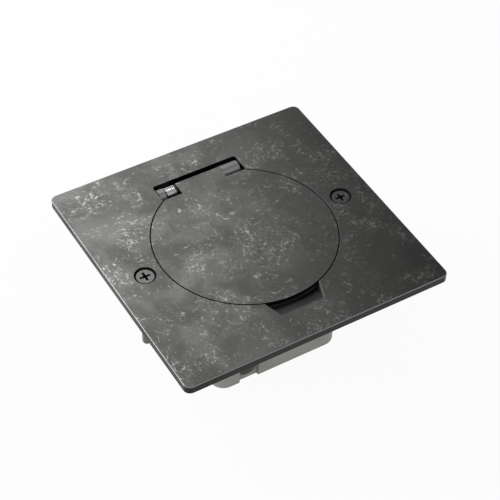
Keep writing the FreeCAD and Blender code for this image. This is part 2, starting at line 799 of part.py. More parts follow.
def make_shutter():
    """Sliding shutter: a bar that covers the line apertures and a stem with a ramped earth window."""
    body = new_body("shutter", z=f"{CARRIER_TOP} + shutter_play")
    reach = "(pin_pitch / 2 + pole_slot_width / 2 + shutter_cover)"
    window_low = f"({EARTH_Y} - earth_slot_length / 2 + shutter_travel)"
    window_high = f"({EARTH_Y} + earth_slot_length / 2 + shutter_travel)"
    outline = polygon(new_sketch(body), [
        (f"-{reach}", BAR_FRONT), (reach, BAR_FRONT), (reach, BAR_BACK), ("stem_half", BAR_BACK),
        ("stem_half", f"{window_high} + stem_end"), ("-stem_half", f"{window_high} + stem_end"),
        ("-stem_half", BAR_BACK), (f"-{reach}", BAR_BACK),
    ])
    pad(body, outline, "shutter_thick")
    window = rectangle(new_sketch(body), "-window_half", "window_half", window_low, window_high)
    pocket(body, window)
    ramp = polygon(new_sketch(body, "YZ_Plane"), [
        (f"{window_low} - shutter_travel / 2", "shutter_thick"),
        (f"{window_low} + 1", "shutter_thick"),
        (f"{window_low} + 1", "shutter_thick - ramp_rise"),
        (window_low, "shutter_thick - ramp_rise"),
    ])
    cut = pocket(body, ramp)
    cut.Type = "Length"
    bind(cut, "Length", "2 * window_half")
    front = new_sketch(body, "XZ_Plane", z=f"-{BAR_FRONT}")
    pad(body, circle(front, "peg_radius", "0", "shutter_thick / 2 - peg_drop"), "peg_length")
    return body


def make_shutter_spring():
    """Coil spring between the shutter's bar and the end of the carrier's trough."""
    length = sizes.trough_end - sizes.pole_y - sizes.slot_width / 2 - sizes.shutter_cover
    points = coil_points(sizes.return_radius, sizes.return_wire, sizes.return_turns, length)
    spring = new_spring("shutter_spring", points, sizes.return_wire / 2)
    height = f"{CARRIER_TOP} + shutter_play + shutter_thick / 2 - peg_drop"
    place(spring, y=BAR_FRONT, z=height, turn=((1, 0, 0), 90))
    return spring


# ---------------------------------------------------------------- carrier, contacts and terminals
def make_contact_carrier():
    """Moulded block under the face: three contact pockets, the spring's trough and the shutter's rails."""
    body = new_body("contact_carrier", z=CARRIER_UNDER)
    half = CARRIER_HALF
    pad(body, cut_corner_square(new_sketch(body), half, "throat_corner"), "carrier_height")
    rails = new_sketch(body, z="carrier_height")
    stem = "(stem_half + rail_play)"
    bar = "(pin_pitch / 2 + pole_slot_width / 2 + shutter_cover + rail_play)"
    for side in ("", "-"):
        near, far = (stem, f"({stem} + rail_width)")
        rectangle(rails, *sorted_span(side, near, far), f"{BAR_BACK} + rail_play", f"{half} - throat_corner")
        near, far = (bar, f"({bar} + rail_width)")
        rectangle(rails, *sorted_span(side, near, far), f"{BAR_FRONT} - shutter_travel", BAR_BACK)
    pad(body, rails, "shutter_thick + 2 * shutter_play")
    pockets = new_sketch(body)
    for middle in ("pin_pitch / 2", "-pin_pitch / 2"):
        rectangle(pockets, f"{middle} - pocket_side", f"{middle} + pocket_side",
                  "-pole_y - pocket_half", "-pole_y + pocket_half")
    ends = (f"{EARTH_Y} - earth_pocket_side", f"{EARTH_Y} + earth_pocket_side")
    rectangle(pockets, "-pocket_half", "pocket_half", *ends)
    pocket(body, pockets)
    trough = new_sketch(body, z="carrier_height")
    rectangle(trough, "-trough_half", "trough_half", "-trough_end", f"{BAR_FRONT} + rail_play")
    pocket(body, trough, "trough_depth")
    return body


def sorted_span(side, near, far):
    """Gives the left and right ends of a span on one side of the middle."""
    return (f"-{far}", f"-{near}") if side else (near, far)


def contact_profile(sketch):
    """U of sprung sheet with flared lips, whose front jaw runs on down as the terminal's tail."""
    gap = "contact_gap / 2"
    out = "(contact_gap / 2 + contact_sheet)"
    lip = "(contact_depth - contact_lip)"
    tail = f"({CONTACT_UNDER} - {CARRIER_UNDER} + terminal_height)"
    return polygon(sketch, [
        (f"-{out}", f"-{tail}"), (f"-{gap}", f"-{tail}"), (f"-{gap}", "0"), (out, "0"),
        (out, lip), (f"{out} + contact_flare", "contact_depth"), (f"{gap} + contact_flare", "contact_depth"),
        (gap, lip), (gap, "contact_sheet"), (f"-{gap}", "contact_sheet"),
        (f"-{gap}", lip), (f"-{gap} - contact_flare", "contact_depth"),
        (f"-{out} - contact_flare", "contact_depth"), (f"-{out}", lip),
    ])


def make_contact(label, width, **where):
    """One sprung contact with the hole for its terminal screw in the tail."""
    body = new_body(label, z=CONTACT_UNDER, **where)
    pad(body, contact_profile(new_sketch(body, "YZ_Plane")), width, both=True)
    hole = new_sketch(body, "XZ_Plane", z="contact_gap / 2 - 1")
    circle(hole, "clamp_radius + clamp_play", "0", f"{CARRIER_UNDER} - {CONTACT_UNDER} - terminal_height / 2")
    pocket(body, hole, "contact_sheet + 2", along=True)
    return body


def make_terminal(label, **where):
    """Brass block under the carrier, against the contact's tail, with a wire bore and a screw hole."""
    body = new_body(label, z=CARRIER_UNDER, **where)
    near = "-contact_gap / 2"
    block = new_sketch(body)
    rectangle(block, "-terminal_width / 2", "terminal_width / 2", near, f"{near} + terminal_depth")
    pad(body, block, "terminal_height", down=True)
    bore = circle(new_sketch(body, z="-terminal_height"), "wire_radius", "0", f"{near} + terminal_depth / 2")
    pocket(body, bore, "wire_depth", along=True)
    hole = new_sketch(body, "XZ_Plane", z="contact_gap / 2")
    circle(hole, "clamp_radius + clamp_play", "0", "-terminal_height / 2")
    pocket(body, hole, "terminal_depth / 2")
    return body


def make_terminal_screws(places):
    """Three clamp screws, each headed on its contact's tail and ending in its block's wire bore."""
    body = new_body("terminal_screws", z=f"{CARRIER_UNDER} - terminal_height / 2")
    for plane, across, depth, sign in places:
        sketch = new_sketch(body, plane, x=across, z=depth)
        tail = "(contact_gap / 2 + contact_sheet)"
        tip = "(contact_gap / 2 - terminal_depth / 2 + wire_radius)"
        polygon(sketch, [
            (f"{sign}({tail} + clamp_head_thick)", "0"),
            (f"{sign}({tail} + clamp_head_thick)", "clamp_head"),
            (f"{sign}{tail}", "clamp_head"),
            (f"{sign}{tail}", "clamp_radius"),
            (f"{sign}({tip} - clamp_play)", "clamp_radius"),
            (f"{sign}({tip} - clamp_play)", "0"),
        ])
        revolve(body, sketch, axis="H_Axis")
    return body


def build():
    """Builds every sub-part and gives them in the order of assembly."""
    turned = ((0, 0, 1), 90)
    live = {"x": "pin_pitch / 2", "y": "-pole_y"}
    neutral = {"x": "-pin_pitch / 2", "y": "-pole_y"}
    earth = {"y": EARTH_Y, "turn": turned}
    parts = [
        make_housing(),
        make_socket_well(),
        make_socket_face(),
        make_face_screws(),
        make_contact_carrier(),
        make_shutter(),
        make_shutter_spring(),
        make_contact("live_contact", "pole_contact_width", **live),
        make_contact("neutral_contact", "pole_contact_width", **neutral),
        make_contact("earth_contact", "earth_contact_width", **earth),
        make_terminal("live_terminal", **live),
        make_terminal("neutral_terminal", **neutral),
        make_terminal("earth_terminal", **earth),
        make_terminal_screws([
            ("YZ_Plane", "-pole_y", "pin_pitch / 2", "-"),
            ("YZ_Plane", "-pole_y", "-pin_pitch / 2", "-"),
            ("XZ_Plane", "0", f"-{EARTH_Y}", ""),
        ]),
        make_cover_plate(),
        make_housing_screws(),
        make_lid_seal(),
        make_floor_gasket(),
        make_flap_lid(),
        make_hinge_bracket(),
        make_hinge_pin(),
        make_hinge_spring(),
        make_bracket_screws(),
        make_plate_screws(),
    ]
    document.recompute()
    return parts


def check_document():
    """Stops the build when any object of the document is in error."""
    for item in document.Objects:
        if "Invalid" in item.State or "Error" in item.State:
            raise RuntimeError(f"{item.Name} is in error")


def write_parts(parts):
    """Writes each sub-part to its own file, once its shape is known to be good."""
    os.makedirs("parts", exist_ok=True)
    for part in parts:
        if part.Shape.isNull() or not part.Shape.isValid():
            raise RuntimeError(f"{part.Label} has a bad shape")
        part.Shape.exportStep(f"parts/{part.Label}.step")


finished = build()
check_document()
write_parts(finished)
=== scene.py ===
"""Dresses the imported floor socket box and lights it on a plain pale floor.

Every object is in metres in the frame of the CAD model: +Z up, +Y towards the lid's hinge, -Y towards the
finger scoop, and the floor at the housing's bottom.
"""
from __future__ import annotations

import json
import logging
import math
import sys
from dataclasses import dataclass, field
from enum import Enum

import bmesh
import bpy
import numpy as np
from mathutils import Matrix, Vector


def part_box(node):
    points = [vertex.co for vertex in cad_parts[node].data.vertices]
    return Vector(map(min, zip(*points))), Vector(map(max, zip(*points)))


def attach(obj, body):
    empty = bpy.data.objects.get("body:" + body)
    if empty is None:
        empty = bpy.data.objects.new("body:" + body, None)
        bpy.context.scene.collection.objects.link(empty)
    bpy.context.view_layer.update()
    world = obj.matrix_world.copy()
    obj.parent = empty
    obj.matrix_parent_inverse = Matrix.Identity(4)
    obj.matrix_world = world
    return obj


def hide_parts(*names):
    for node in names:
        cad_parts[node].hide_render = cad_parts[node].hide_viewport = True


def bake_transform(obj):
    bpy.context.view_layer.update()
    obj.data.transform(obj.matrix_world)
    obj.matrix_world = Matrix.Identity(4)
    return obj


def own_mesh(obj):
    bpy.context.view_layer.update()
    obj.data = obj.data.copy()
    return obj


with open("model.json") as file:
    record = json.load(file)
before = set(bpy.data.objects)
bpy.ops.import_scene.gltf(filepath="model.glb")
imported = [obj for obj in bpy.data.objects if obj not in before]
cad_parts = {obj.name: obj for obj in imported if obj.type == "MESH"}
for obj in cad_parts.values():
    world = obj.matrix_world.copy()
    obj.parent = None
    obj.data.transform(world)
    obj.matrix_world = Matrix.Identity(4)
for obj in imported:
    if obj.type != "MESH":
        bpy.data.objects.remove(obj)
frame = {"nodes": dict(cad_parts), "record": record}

LOG = logging.getLogger("floor_socket_box")
MM = 0.001
FULL_TURN = 2 * math.pi

Array = np.ndarray
Colour = tuple[float, float, float]
Point = tuple[float, float, float]
Span = tuple[float, float]
Socket = bpy.types.NodeSocket

UP = np.array([0.0, 0.0, 1.0])
DOWN = -UP


# ---------------------------------------------------------------- frame
def joint_named(name: str) -> dict:
    """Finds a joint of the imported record.

    Args:
        name: the joint's name.

    Returns:
        The joint's entry, with its place, axis and range.
    """
    joints = frame["record"]["behaviour"]["joints"]
    return next(joint for joint in joints if joint["name"] == name)


def box_of(node: str) -> tuple[Array, Array]:
    """Gives a CAD node's lowest and highest corners as arrays, in metres."""
    low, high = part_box(node)
    return np.array(low), np.array(high)


def body_of(node: str) -> str:
    """Gives the name of the body that a CAD node moves with."""
    bodies = frame["record"]["behaviour"]["bodies"]
    return next(body for body, nodes in bodies.items() if node in nodes)


# ---------------------------------------------------------------- node trees
@dataclass
class Graph:
    """A node tree with short calls for the nodes that the finishes use."""

    tree: bpy.types.NodeTree

    def add(self, kind: str, **settings: object) -> bpy.types.Node:
        """Adds one node.

        Args:
            kind: the node's type name after "ShaderNode".
            settings: properties to set on the node.

        Returns:
            The new node.
        """
        node = self.tree.nodes.new(kind if kind.startswith("NodeGroup") else f"ShaderNode{kind}")
        for name, value in settings.items():
            setattr(node, name, value)
        return node

    def feed(self, socket: Socket, value: object) -> None:
        """Links an output to a socket, or sets the socket's own value.

        Args:
            socket: the input to feed.
            value: an output, or a plain value.
        """
        if isinstance(value, Socket):
            self.tree.links.new(value, socket)
        else:
            socket.default_value = value

    def maths(self, operation: str, *values: object) -> Socket:
        """Works out one operation on numbers or outputs.

        Args:
            operation: the Math node's operation.
            values: numbers or outputs, in order.

        Returns:
            The result's output.
        """
        node = self.add("Math", operation=operation)
        for socket, value in zip(node.inputs, values):
            self.feed(socket, value)
        return node.outputs[0]

    def ramp(self, value: object, low: float, high: float, start: float = 0.0, end: float = 1.0) -> Socket:
        """Maps a value smoothly from one range to another.

        Args:
            value: the output to map.
            low: the value that gives start.
            high: the value that gives end.
            start: the result at low.
            end: the result at high.

        Returns:
            The mapped output.
        """
        node = self.add("MapRange", interpolation_type="SMOOTHSTEP")
        settings = {"Value": value, "From Min": low, "From Max": high, "To Min": start, "To Max": end}
        for name, item in settings.items():
            self.feed(node.inputs[name], item)
        return node.outputs["Result"]

    def noise(self, vector: object, scale: object, detail: float = 2.0, roughness: float = 0.5,
              distortion: float = 0.0) -> bpy.types.Node:
        """Adds a noise texture.

        Args:
            vector: the coordinates' output.
            scale: features in each unit of the coordinates.
            detail: octaves beyond the first.
            roughness: how strong each further octave is.
            distortion: how far the noise is pulled about.

        Returns:
            The noise node.
        """
        node = self.add("TexNoise")
        self.feed(node.inputs["Vector"], vector)
        self.feed(node.inputs["Scale"], scale)
        node.inputs["Detail"].default_value = detail
        node.inputs["Roughness"].default_value = roughness
        node.inputs["Distortion"].default_value = distortion
        return node

    def blend(self, share: object, first: object, second: object) -> Socket:
        """Mixes two colours by a share.

        Args:
            share: 0 for the first colour and 1 for the second.
            first: a colour or an output.
            second: a colour or an output.

        Returns:
            The mixed colour's output.
        """
        node = self.add("Mix", data_type="RGBA")
        first_colour, second_colour, mixed = node.inputs[6], node.inputs[7], node.outputs[2]
        self.feed(node.inputs["Factor"], share)
        for socket, colour in ((first_colour, first), (second_colour, second)):
            self.feed(socket, (*colour, 1.0) if isinstance(colour, tuple) else colour)
        return mixed

    def blend_shaders(self, share: object, first: Socket, second: Socket) -> Socket:
        """Mixes two shaders by a share.

        Args:
            share: 0 for the first shader and 1 for the second.
            first: a shader's output.
            second: a shader's output.

        Returns:
            The mixed shader's output.
        """
        node = self.add("MixShader")
        for socket, value in zip(node.inputs, (share, first, second)):
            self.feed(socket, value)
        return node.outputs[0]

    def axes(self, vector: object) -> bpy.types.bpy_prop_collection:
        """Splits a vector.

        Args:
            vector: the vector's output.

        Returns:
            Its parts, as outputs named X, Y and Z.
        """
        node = self.add("SeparateXYZ")
        self.feed(node.inputs[0], vector)
        return node.outputs


def new_group(name: str, inputs: dict[str, float | None], outputs: list[str],
              ) -> tuple[Graph, bpy.types.NodeOutputs, bpy.types.NodeInputs]:
    """Starts a shader node group with named sockets.

    Args:
        name: the group's name.
        inputs: each number's default by its name; None makes a vector socket.
        outputs: the names of the values that the group gives.

    Returns:
        The group's graph, what it is given, and the results to feed.
    """
    tree = bpy.data.node_groups.new(name, "ShaderNodeTree")
    for label, default in inputs.items():
        kind = "NodeSocketVector" if default is None else "NodeSocketFloat"
        socket = tree.interface.new_socket(label, in_out="INPUT", socket_type=kind)
        if default is not None:
            socket.default_value = default
    for label in outputs:
        tree.interface.new_socket(label, in_out="OUTPUT", socket_type="NodeSocketFloat")
    graph = Graph(tree)
    return graph, graph.add("NodeGroupInput").outputs, graph.add("NodeGroupOutput").inputs


@dataclass(frozen=True)
class Marks:
    """One kind of light mark, cut from the peaks of a noise.

    A cluster lifts the noise by crowd_lift. A mark starts where the lifted noise reaches start, and has its
    whole strength from full on.
    """

    crowd_lift: float
    start: float
    full: float

    def drawn(self, graph: Graph, crowd: Socket, noise: bpy.types.Node) -> Socket:
        """Draws the marks of one noise.

        Args:
            graph: the tree to draw in.
            crowd: how much of a cluster is here, from 0 to 1.
            noise: the noise node.

        Returns:
            The marks' strength, from 0 to 1.
        """
        lifted = graph.maths("MULTIPLY_ADD", crowd, self.crowd_lift, noise.outputs["Fac"])
        return graph.ramp(lifted, self.start, self.full)


COMBED = Marks(0.12, 0.54, 0.73)
SLUGS = Marks(0.07, 0.69, 0.81)
BLOTS = Marks(0.11, 0.67, 0.87)
# Size as a share of the group's own, lines in the noise's whole range, and a shift in metres.
COMB_FAMILIES = ((1.0, 13.0, 0.0), (0.6, 8.0, 0.31))
# Direction in degrees from X, and size as a share of the group's own.
SLUG_FAMILIES = ((118.0, 1.0), (100.0, 0.7), (137.0, 0.85), (160.0, 0.6), (58.0, 0.5))
SLUG_WIDTH = 0.22
WARP_DENSITY = 520.0
WARP_PULL = 2.4 * MM
SPECK_DENSITY = 1900.0
# Distances from a combed line, as shares of a step, where the stroke is whole and where it ends.
LINE_EDGES = (0.02, 0.15)
# Noise levels where an effect starts and where it is whole.
CLUSTER_LEVELS = (0.40, 0.66)
WEAR_LEVELS = (0.335, 0.59)
FUZZ_LEVELS = (0.5, 0.72)
CLOUD_LEVELS = (0.32, 0.68)
# How strong the marks are outside a cluster, as a share of those inside one.
LONE_STRENGTH = 0.6


def make_fleck_group() -> bpy.types.NodeTree:
    """Builds the mottle of the antique metal: strokes, slugs and blots in clusters, clouds and specks.

    A combed stroke is a thin line at an even step of a slow noise, so that neighbours run side by side and
    bend together; a faster noise breaks the lines into short lengths. A slug is a peak of a noise that is
    stretched one way, and a blot is a peak of a rough noise. All of them are strong inside a cluster and
    faint outside.

    Returns:
        The group, whose sizes are in metres.
    """
    graph, given, result = new_group(
        "FleckedMottle",
        {"Vector": None, "Comb": 18 * MM, "Break": 2.6 * MM, "Slug": 4.8 * MM, "Blot": 1.7 * MM,
         "Cluster": 15 * MM, "Cloud": 17 * MM, "Fuzz": 1.1 * MM},
        ["Fleck", "Fuzz", "Cloud", "Speck"],
    )
    place = given["Vector"]
    density = {label: graph.maths("DIVIDE", 1.0, given[label])
               for label in ("Comb", "Break", "Blot", "Cluster", "Cloud", "Fuzz")}
    warp = graph.noise(place, WARP_DENSITY, detail=3.0, roughness=0.65)
    centred = graph.add("VectorMath", operation="SUBTRACT")
    graph.feed(centred.inputs[0], warp.outputs["Color"])
    centred.inputs[1].default_value = (0.5, 0.5, 0.5)
    pulled = graph.add("VectorMath", operation="MULTIPLY_ADD")
    graph.feed(pulled.inputs[0], centred.outputs[0])
    pulled.inputs[1].default_value = (WARP_PULL, WARP_PULL, WARP_PULL)
    graph.feed(pulled.inputs[2], place)

    cluster = graph.noise(place, density["Cluster"], detail=3.0, roughness=0.6, distortion=0.8)
    crowd = graph.ramp(cluster.outputs["Fac"], *CLUSTER_LEVELS)
    blot = graph.noise(pulled.outputs[0], density["Blot"], detail=3.5, roughness=0.72)
    marks = [BLOTS.drawn(graph, crowd, blot)]
    for size, lines, shift in COMB_FAMILIES:
        moved = graph.add("VectorMath", operation="ADD")
        graph.feed(moved.inputs[0], pulled.outputs[0])
        moved.inputs[1].default_value = (shift, -shift, shift)
        slow = graph.noise(moved.outputs[0], graph.maths("DIVIDE", density["Comb"], size), detail=0.6)
        step = graph.maths("FRACT", graph.maths("MULTIPLY", slow.outputs["Fac"], lines))
        off_line = graph.maths("ABSOLUTE", graph.maths("SUBTRACT", step, 0.5))
        ridge = graph.ramp(off_line, *LINE_EDGES, 1.0, 0.0)
        breaks = graph.noise(moved.outputs[0], density["Break"], detail=3.0, roughness=0.6)
        marks.append(graph.maths("MULTIPLY", ridge, COMBED.drawn(graph, crowd, breaks)))
    for degrees, size in SLUG_FAMILIES:
        turn = graph.add("Mapping", vector_type="TEXTURE")
        stretch = graph.add("CombineXYZ")
        for socket, share in zip(stretch.inputs, (size, SLUG_WIDTH * size, SLUG_WIDTH * size)):
            graph.feed(socket, graph.maths("MULTIPLY", given["Slug"], share))
        graph.feed(turn.inputs["Vector"], pulled.outputs[0])
        graph.feed(turn.inputs["Scale"], stretch.outputs[0])
        turn.inputs["Rotation"].default_value = (0.0, 0.0, math.radians(degrees))
        slug = graph.noise(turn.outputs[0], 1.0, detail=2.5, roughness=0.6)
        marks.append(SLUGS.drawn(graph, crowd, slug))
    strongest = marks[0]
    for mark in marks[1:]:
        strongest = graph.maths("MAXIMUM", strongest, mark)

    fuzz = graph.noise(place, density["Fuzz"], detail=2.5, roughness=0.75).outputs["Fac"]
    uneven = graph.maths("MULTIPLY", graph.ramp(fuzz, *WEAR_LEVELS),
                         graph.ramp(crowd, 0.0, 1.0, LONE_STRENGTH, 1.0))
    graph.feed(result["Fleck"], graph.maths("MULTIPLY", strongest, uneven))
    graph.feed(result["Fuzz"], graph.maths("MULTIPLY", graph.ramp(fuzz, *FUZZ_LEVELS), crowd))
    cloud = graph.noise(place, density["Cloud"], detail=5.0, roughness=0.62, distortion=0.6)
    graph.feed(result["Cloud"], graph.ramp(cloud.outputs["Fac"], *CLOUD_LEVELS))
    speck = graph.noise(place, SPECK_DENSITY, detail=1.5, roughness=0.6)
    graph.feed(result["Speck"], speck.outputs["Fac"])
    return graph.tree


def make_grain_group() -> bpy.types.NodeTree:
    """Builds an even fine grain with a slower unevenness, for mouldings, castings and rubber.

    Returns:
        The group, whose sizes are in metres.
    """
    sizes = {"Vector": None, "Grain": 0.5 * MM, "Patch": 12 * MM}
    graph, given, result = new_group("SurfaceGrain", sizes, ["Grain", "Patch"])
    for label, detail in (("Grain", 2.0), ("Patch", 3.0)):
        density = graph.maths("DIVIDE", 1.0, given[label])
        texture = graph.noise(given["Vector"], density, detail=detail, roughness=0.55)
        graph.feed(result[label], texture.outputs["Fac"])
    return graph.tree


def make_drawn_group() -> bpy.types.NodeTree:
    """Builds the fine lines of drawn, turned or rolled metal, as noise stretched along X.

    Returns:
        The group, whose sizes are in metres.
    """
    graph, given, result = new_group("DrawnLines", {"Vector": None, "Along": 6 * MM, "Across": 0.12 * MM},
                                     ["Lines"])
    stretch = graph.add("CombineXYZ")
    for socket, label in zip(stretch.inputs, ("Along", "Across", "Across")):
        graph.feed(socket, given[label])
    scaled = graph.add("Mapping", vector_type="TEXTURE")
    graph.feed(scaled.inputs["Vector"], given["Vector"])
    graph.feed(scaled.inputs["Scale"], stretch.outputs[0])
    texture = graph.noise(scaled.outputs[0], 1.0)
    graph.feed(result["Lines"], texture.outputs["Fac"])
    return graph.tree


def make_screw_group() -> bpy.types.NodeTree:
    """Builds the distance from the nearer plate screw's axis; the two stand at equal and opposite X.

    The distance is the root of the squares of |X| less the reach and of Y less the middle.

    Returns:
        The group, whose distance is in metres.
    """
    places = {"Vector": None, "Reach": 46 * MM, "Middle": 0.0}
    graph, given, result = new_group("NearestScrew", places, ["Away"])
    parts = graph.axes(given["Vector"])
    across = graph.maths("SUBTRACT", graph.maths("ABSOLUTE", parts["X"]), given["Reach"])
    along = graph.maths("SUBTRACT", parts["Y"], given["Middle"])
    squares = graph.maths("MULTIPLY_ADD", across, across, graph.maths("MULTIPLY", along, along))
    graph.feed(result["Away"], graph.maths("SQRT", squares))
    return graph.tree


class Effect(Enum):
    """The shared effects, each a node group that is built once."""

    FLECKS = "FleckedMottle"
    GRAIN = "SurfaceGrain"
    LINES = "DrawnLines"
    SCREWS = "NearestScrew"


BUILDERS = {Effect.FLECKS: make_fleck_group, Effect.GRAIN: make_grain_group, Effect.LINES: make_drawn_group,
            Effect.SCREWS: make_screw_group}


# ---------------------------------------------------------------- finishes
@dataclass(frozen=True)
class Finish:
    """One procedural finish; each kind below adds its own detail.

    The gloss spread says how much rougher and how much smoother than its own roughness the finish gets.
    """

    name: str
    colour: Colour
    roughness: float
    metallic: float = 0.0
    gloss_spread: Span = (0.06, 0.04)

    def material(self) -> bpy.types.Material:
        """Gives the finish's material, built on first use."""
        return bpy.data.materials.get(self.name) or self.build()

    def start(self) -> tuple[bpy.types.Material, Graph, bpy.types.Node, Socket]:
        """Starts a material.

        Returns:
            The material, its graph, its Principled BSDF and its object coordinates.
        """
        material = bpy.data.materials.new(self.name)
        material.use_nodes = True
        graph = Graph(material.node_tree)
        shader = material.node_tree.nodes["Principled BSDF"]
        shader.inputs["Metallic"].default_value = self.metallic
        return material, graph, shader, graph.add("TexCoord").outputs["Object"]

    def effect(self, graph: Graph, kind: Effect, vector: object, **values: float) -> bpy.types.NodeOutputs:
        """Places a shared effect in a material.

        Args:
            graph: the material's graph.
            kind: which effect.
            vector: the coordinates' output.
            values: the group's own values, by name.

        Returns:
            What the group gives, by name.
        """
        tree = bpy.data.node_groups.get(kind.value) or BUILDERS[kind]()
        node = graph.add("Group", node_tree=tree)
        graph.feed(node.inputs["Vector"], vector)
        for name, value in values.items():
            node.inputs[name].default_value = value
        return node.outputs

    def vary_gloss(self, graph: Graph, value: Socket, levels: Span) -> Socket:
        """Varies the roughness about its own value.

        Args:
            graph: the material's graph.
            value: the output that it varies with.
            levels: the values that give the roughest and the smoothest places.

        Returns:
            The roughness.
        """
        rougher, smoother = self.gloss_spread
        return graph.ramp(value, *levels, self.roughness + rougher, self.roughness - smoother)

    def emboss(self, graph: Graph, shader: bpy.types.Node, height: object, depth: float) -> None:
        """Raises a height as a bump on the shader.

        Args:
            graph: the material's graph.
            shader: the Principled BSDF.
            height: the height's output, from 0 to 1.
            depth: how far the height reaches, in metres.
        """
        bump = graph.add("Bump")
        bump.inputs["Distance"].default_value = depth
        bump.inputs["Strength"].default_value = 1.0
        graph.feed(bump.inputs["Height"], height)
        graph.feed(shader.inputs["Normal"], bump.outputs["Normal"])

    def build(self) -> bpy.types.Material:
        """Builds the material; each kind of finish has its own way."""
        raise NotImplementedError


@dataclass(frozen=True, kw_only=True)
class AntiqueMetal(Finish):
    """Dark pewter-like metal with soft clouds and clusters of light strokes on its flat top.

    The flecks show only on the flat top. The turned-over edge gets a plain painted highlight, and the
    sides, the scoop and the countersinks get painted shade. A tilt is the Z of the surface's normal, 1
    facing up and -1 down. A pair of tilts, or of depths under the top, says where a change starts and ends.
    """

    face_height: float
    screw_reach: float
    screw_middle: float
    cloud_colour: Colour = (0.135, 0.135, 0.129)
    fleck_colour: Colour = (0.60, 0.60, 0.58)
    fleck_strength: float = 0.9
    fuzz_strength: float = 0.3
    # Painted highlight: the turned-over edge is a plain colour a little lighter than the top.
    highlight_colour: Colour = (0.22, 0.22, 0.215)
    highlight_tilts: Span = (0.90, 0.985)
    # Painted shade: the scoop and other recesses darken with depth under the top.
    recess_shade_colour: Colour = (0.062, 0.062, 0.062)
    recess_shade_depths: Span = (1.0 * MM, 0.05 * MM)
    # Painted shade: the plate's and the lid's sides are painted near black.
    side_shade_colour: Colour = (0.024, 0.024, 0.023)
    side_shade_tilts: Span = (0.2, 0.55)
    under_colour: Colour = (0.15, 0.15, 0.146)
    under_tilts: Span = (-0.8, -0.5)
    # Painted shade: the countersinks round the screw axes are painted near black.
    sink_shade_colour: Colour = (0.004, 0.004, 0.004)
    sink_shade_radius: float = 4.62 * MM
    sink_shade_blur: float = 0.1 * MM
    gloss_spread: Span = (0.05, 0.04)
    fleck_polish: float = 0.08
    fleck_rise: float = 1.2
    relief: float = 0.022 * MM

    def build(self) -> bpy.types.Material:
        """Builds the mottled metal: clouds under flecks in the colour, and both in the gloss and the bump.

        Returns:
            The material.
        """
        material, graph, shader, place = self.start()
        mottle = self.effect(graph, Effect.FLECKS, place)
        base = graph.blend(mottle["Cloud"], self.cloud_colour, self.colour)
        fleck = graph.maths("MAXIMUM", graph.maths("MULTIPLY", mottle["Fleck"], self.fleck_strength),
                            graph.maths("MULTIPLY", mottle["Fuzz"], self.fuzz_strength))
        colour = graph.blend(fleck, base, self.fleck_colour)
        tilt = graph.axes(graph.add("TexCoord").outputs["Normal"])["Z"]
        height = graph.axes(place)["Z"]
        deep, shallow = self.recess_shade_depths
        screws = self.effect(graph, Effect.SCREWS, place, Reach=self.screw_reach, Middle=self.screw_middle)
        # Plain colours laid over the mottle in turn: a painted highlight on the turned-over edge, painted
        # shade that darkens the scoop and other recesses with depth, painted shade on the sides, a plain
        # colour on faces turned down, and near-black painted shade in the countersinks.
        for mask, plain in (
            (graph.ramp(tilt, *self.highlight_tilts), self.highlight_colour),
            (graph.ramp(height, self.face_height - deep, self.face_height - shallow), self.recess_shade_colour),
            (graph.ramp(tilt, *self.side_shade_tilts), self.side_shade_colour),
            (graph.ramp(tilt, *self.under_tilts), self.under_colour),
            (graph.ramp(screws["Away"], self.sink_shade_radius - self.sink_shade_blur, self.sink_shade_radius),
             self.sink_shade_colour),
        ):
            colour = graph.blend(mask, plain, colour)
        graph.feed(shader.inputs["Base Color"], colour)
        gloss = self.vary_gloss(graph, mottle["Cloud"], (0.0, 1.0))
        gloss = graph.maths("MULTIPLY_ADD", fleck, -self.fleck_polish, gloss)
        graph.feed(shader.inputs["Roughness"], gloss)
        raised = graph.maths("MULTIPLY_ADD", fleck, self.fleck_rise, mottle["Speck"])
        self.emboss(graph, shader, raised, self.relief)
        return material


@dataclass(frozen=True, kw_only=True)
class Moulding(Finish):
    """Moulded plastic or rubber, or a casting, with a fine grain and a slow unevenness."""

    patch_colour: Colour
    patch_levels: Span = (0.3, 0.7)
    grain_size: float = 0.5 * MM
    grain_depth: float = 0.02 * MM

    def build(self) -> bpy.types.Material:
        """Builds the moulding: patches in the colour and the gloss, and grain in the bump.

        Returns:
            The material.
        """
        material, graph, shader, place = self.start()
        grain = self.effect(graph, Effect.GRAIN, place, Grain=self.grain_size)
        share = graph.ramp(grain["Patch"], *self.patch_levels)
        graph.feed(shader.inputs["Base Color"], graph.blend(share, self.patch_colour, self.colour))
        graph.feed(shader.inputs["Roughness"], self.vary_gloss(graph, grain["Patch"], self.patch_levels))
        self.emboss(graph, shader, grain["Grain"], self.grain_depth)
        return material


@dataclass(frozen=True, kw_only=True)
class DrawnMetal(Finish):
    """Drawn, rolled or turned metal, with fine lines along X and a slow tarnish."""

    tarnish_colour: Colour
    tarnish_size: float = 4.0 * MM
    tarnish_levels: Span = (0.34, 0.62)
    line_levels: Span = (0.3, 0.7)
    line_depth: float = 0.01 * MM
    gloss_spread: Span = (0.08, 0.06)

    def build(self) -> bpy.types.Material:
        """Builds the metal: tarnish patches in the colour, and lines in the gloss and the bump.

        Returns:
            The material.
        """
        material, graph, shader, place = self.start()
        lines = self.effect(graph, Effect.LINES, place)["Lines"]
        grain = self.effect(graph, Effect.GRAIN, place, Patch=self.tarnish_size)
        share = graph.ramp(grain["Patch"], *self.tarnish_levels)
        graph.feed(shader.inputs["Base Color"], graph.blend(share, self.tarnish_colour, self.colour))
        graph.feed(shader.inputs["Roughness"], self.vary_gloss(graph, lines, self.line_levels))
        self.emboss(graph, shader, lines, self.line_depth)
        return material


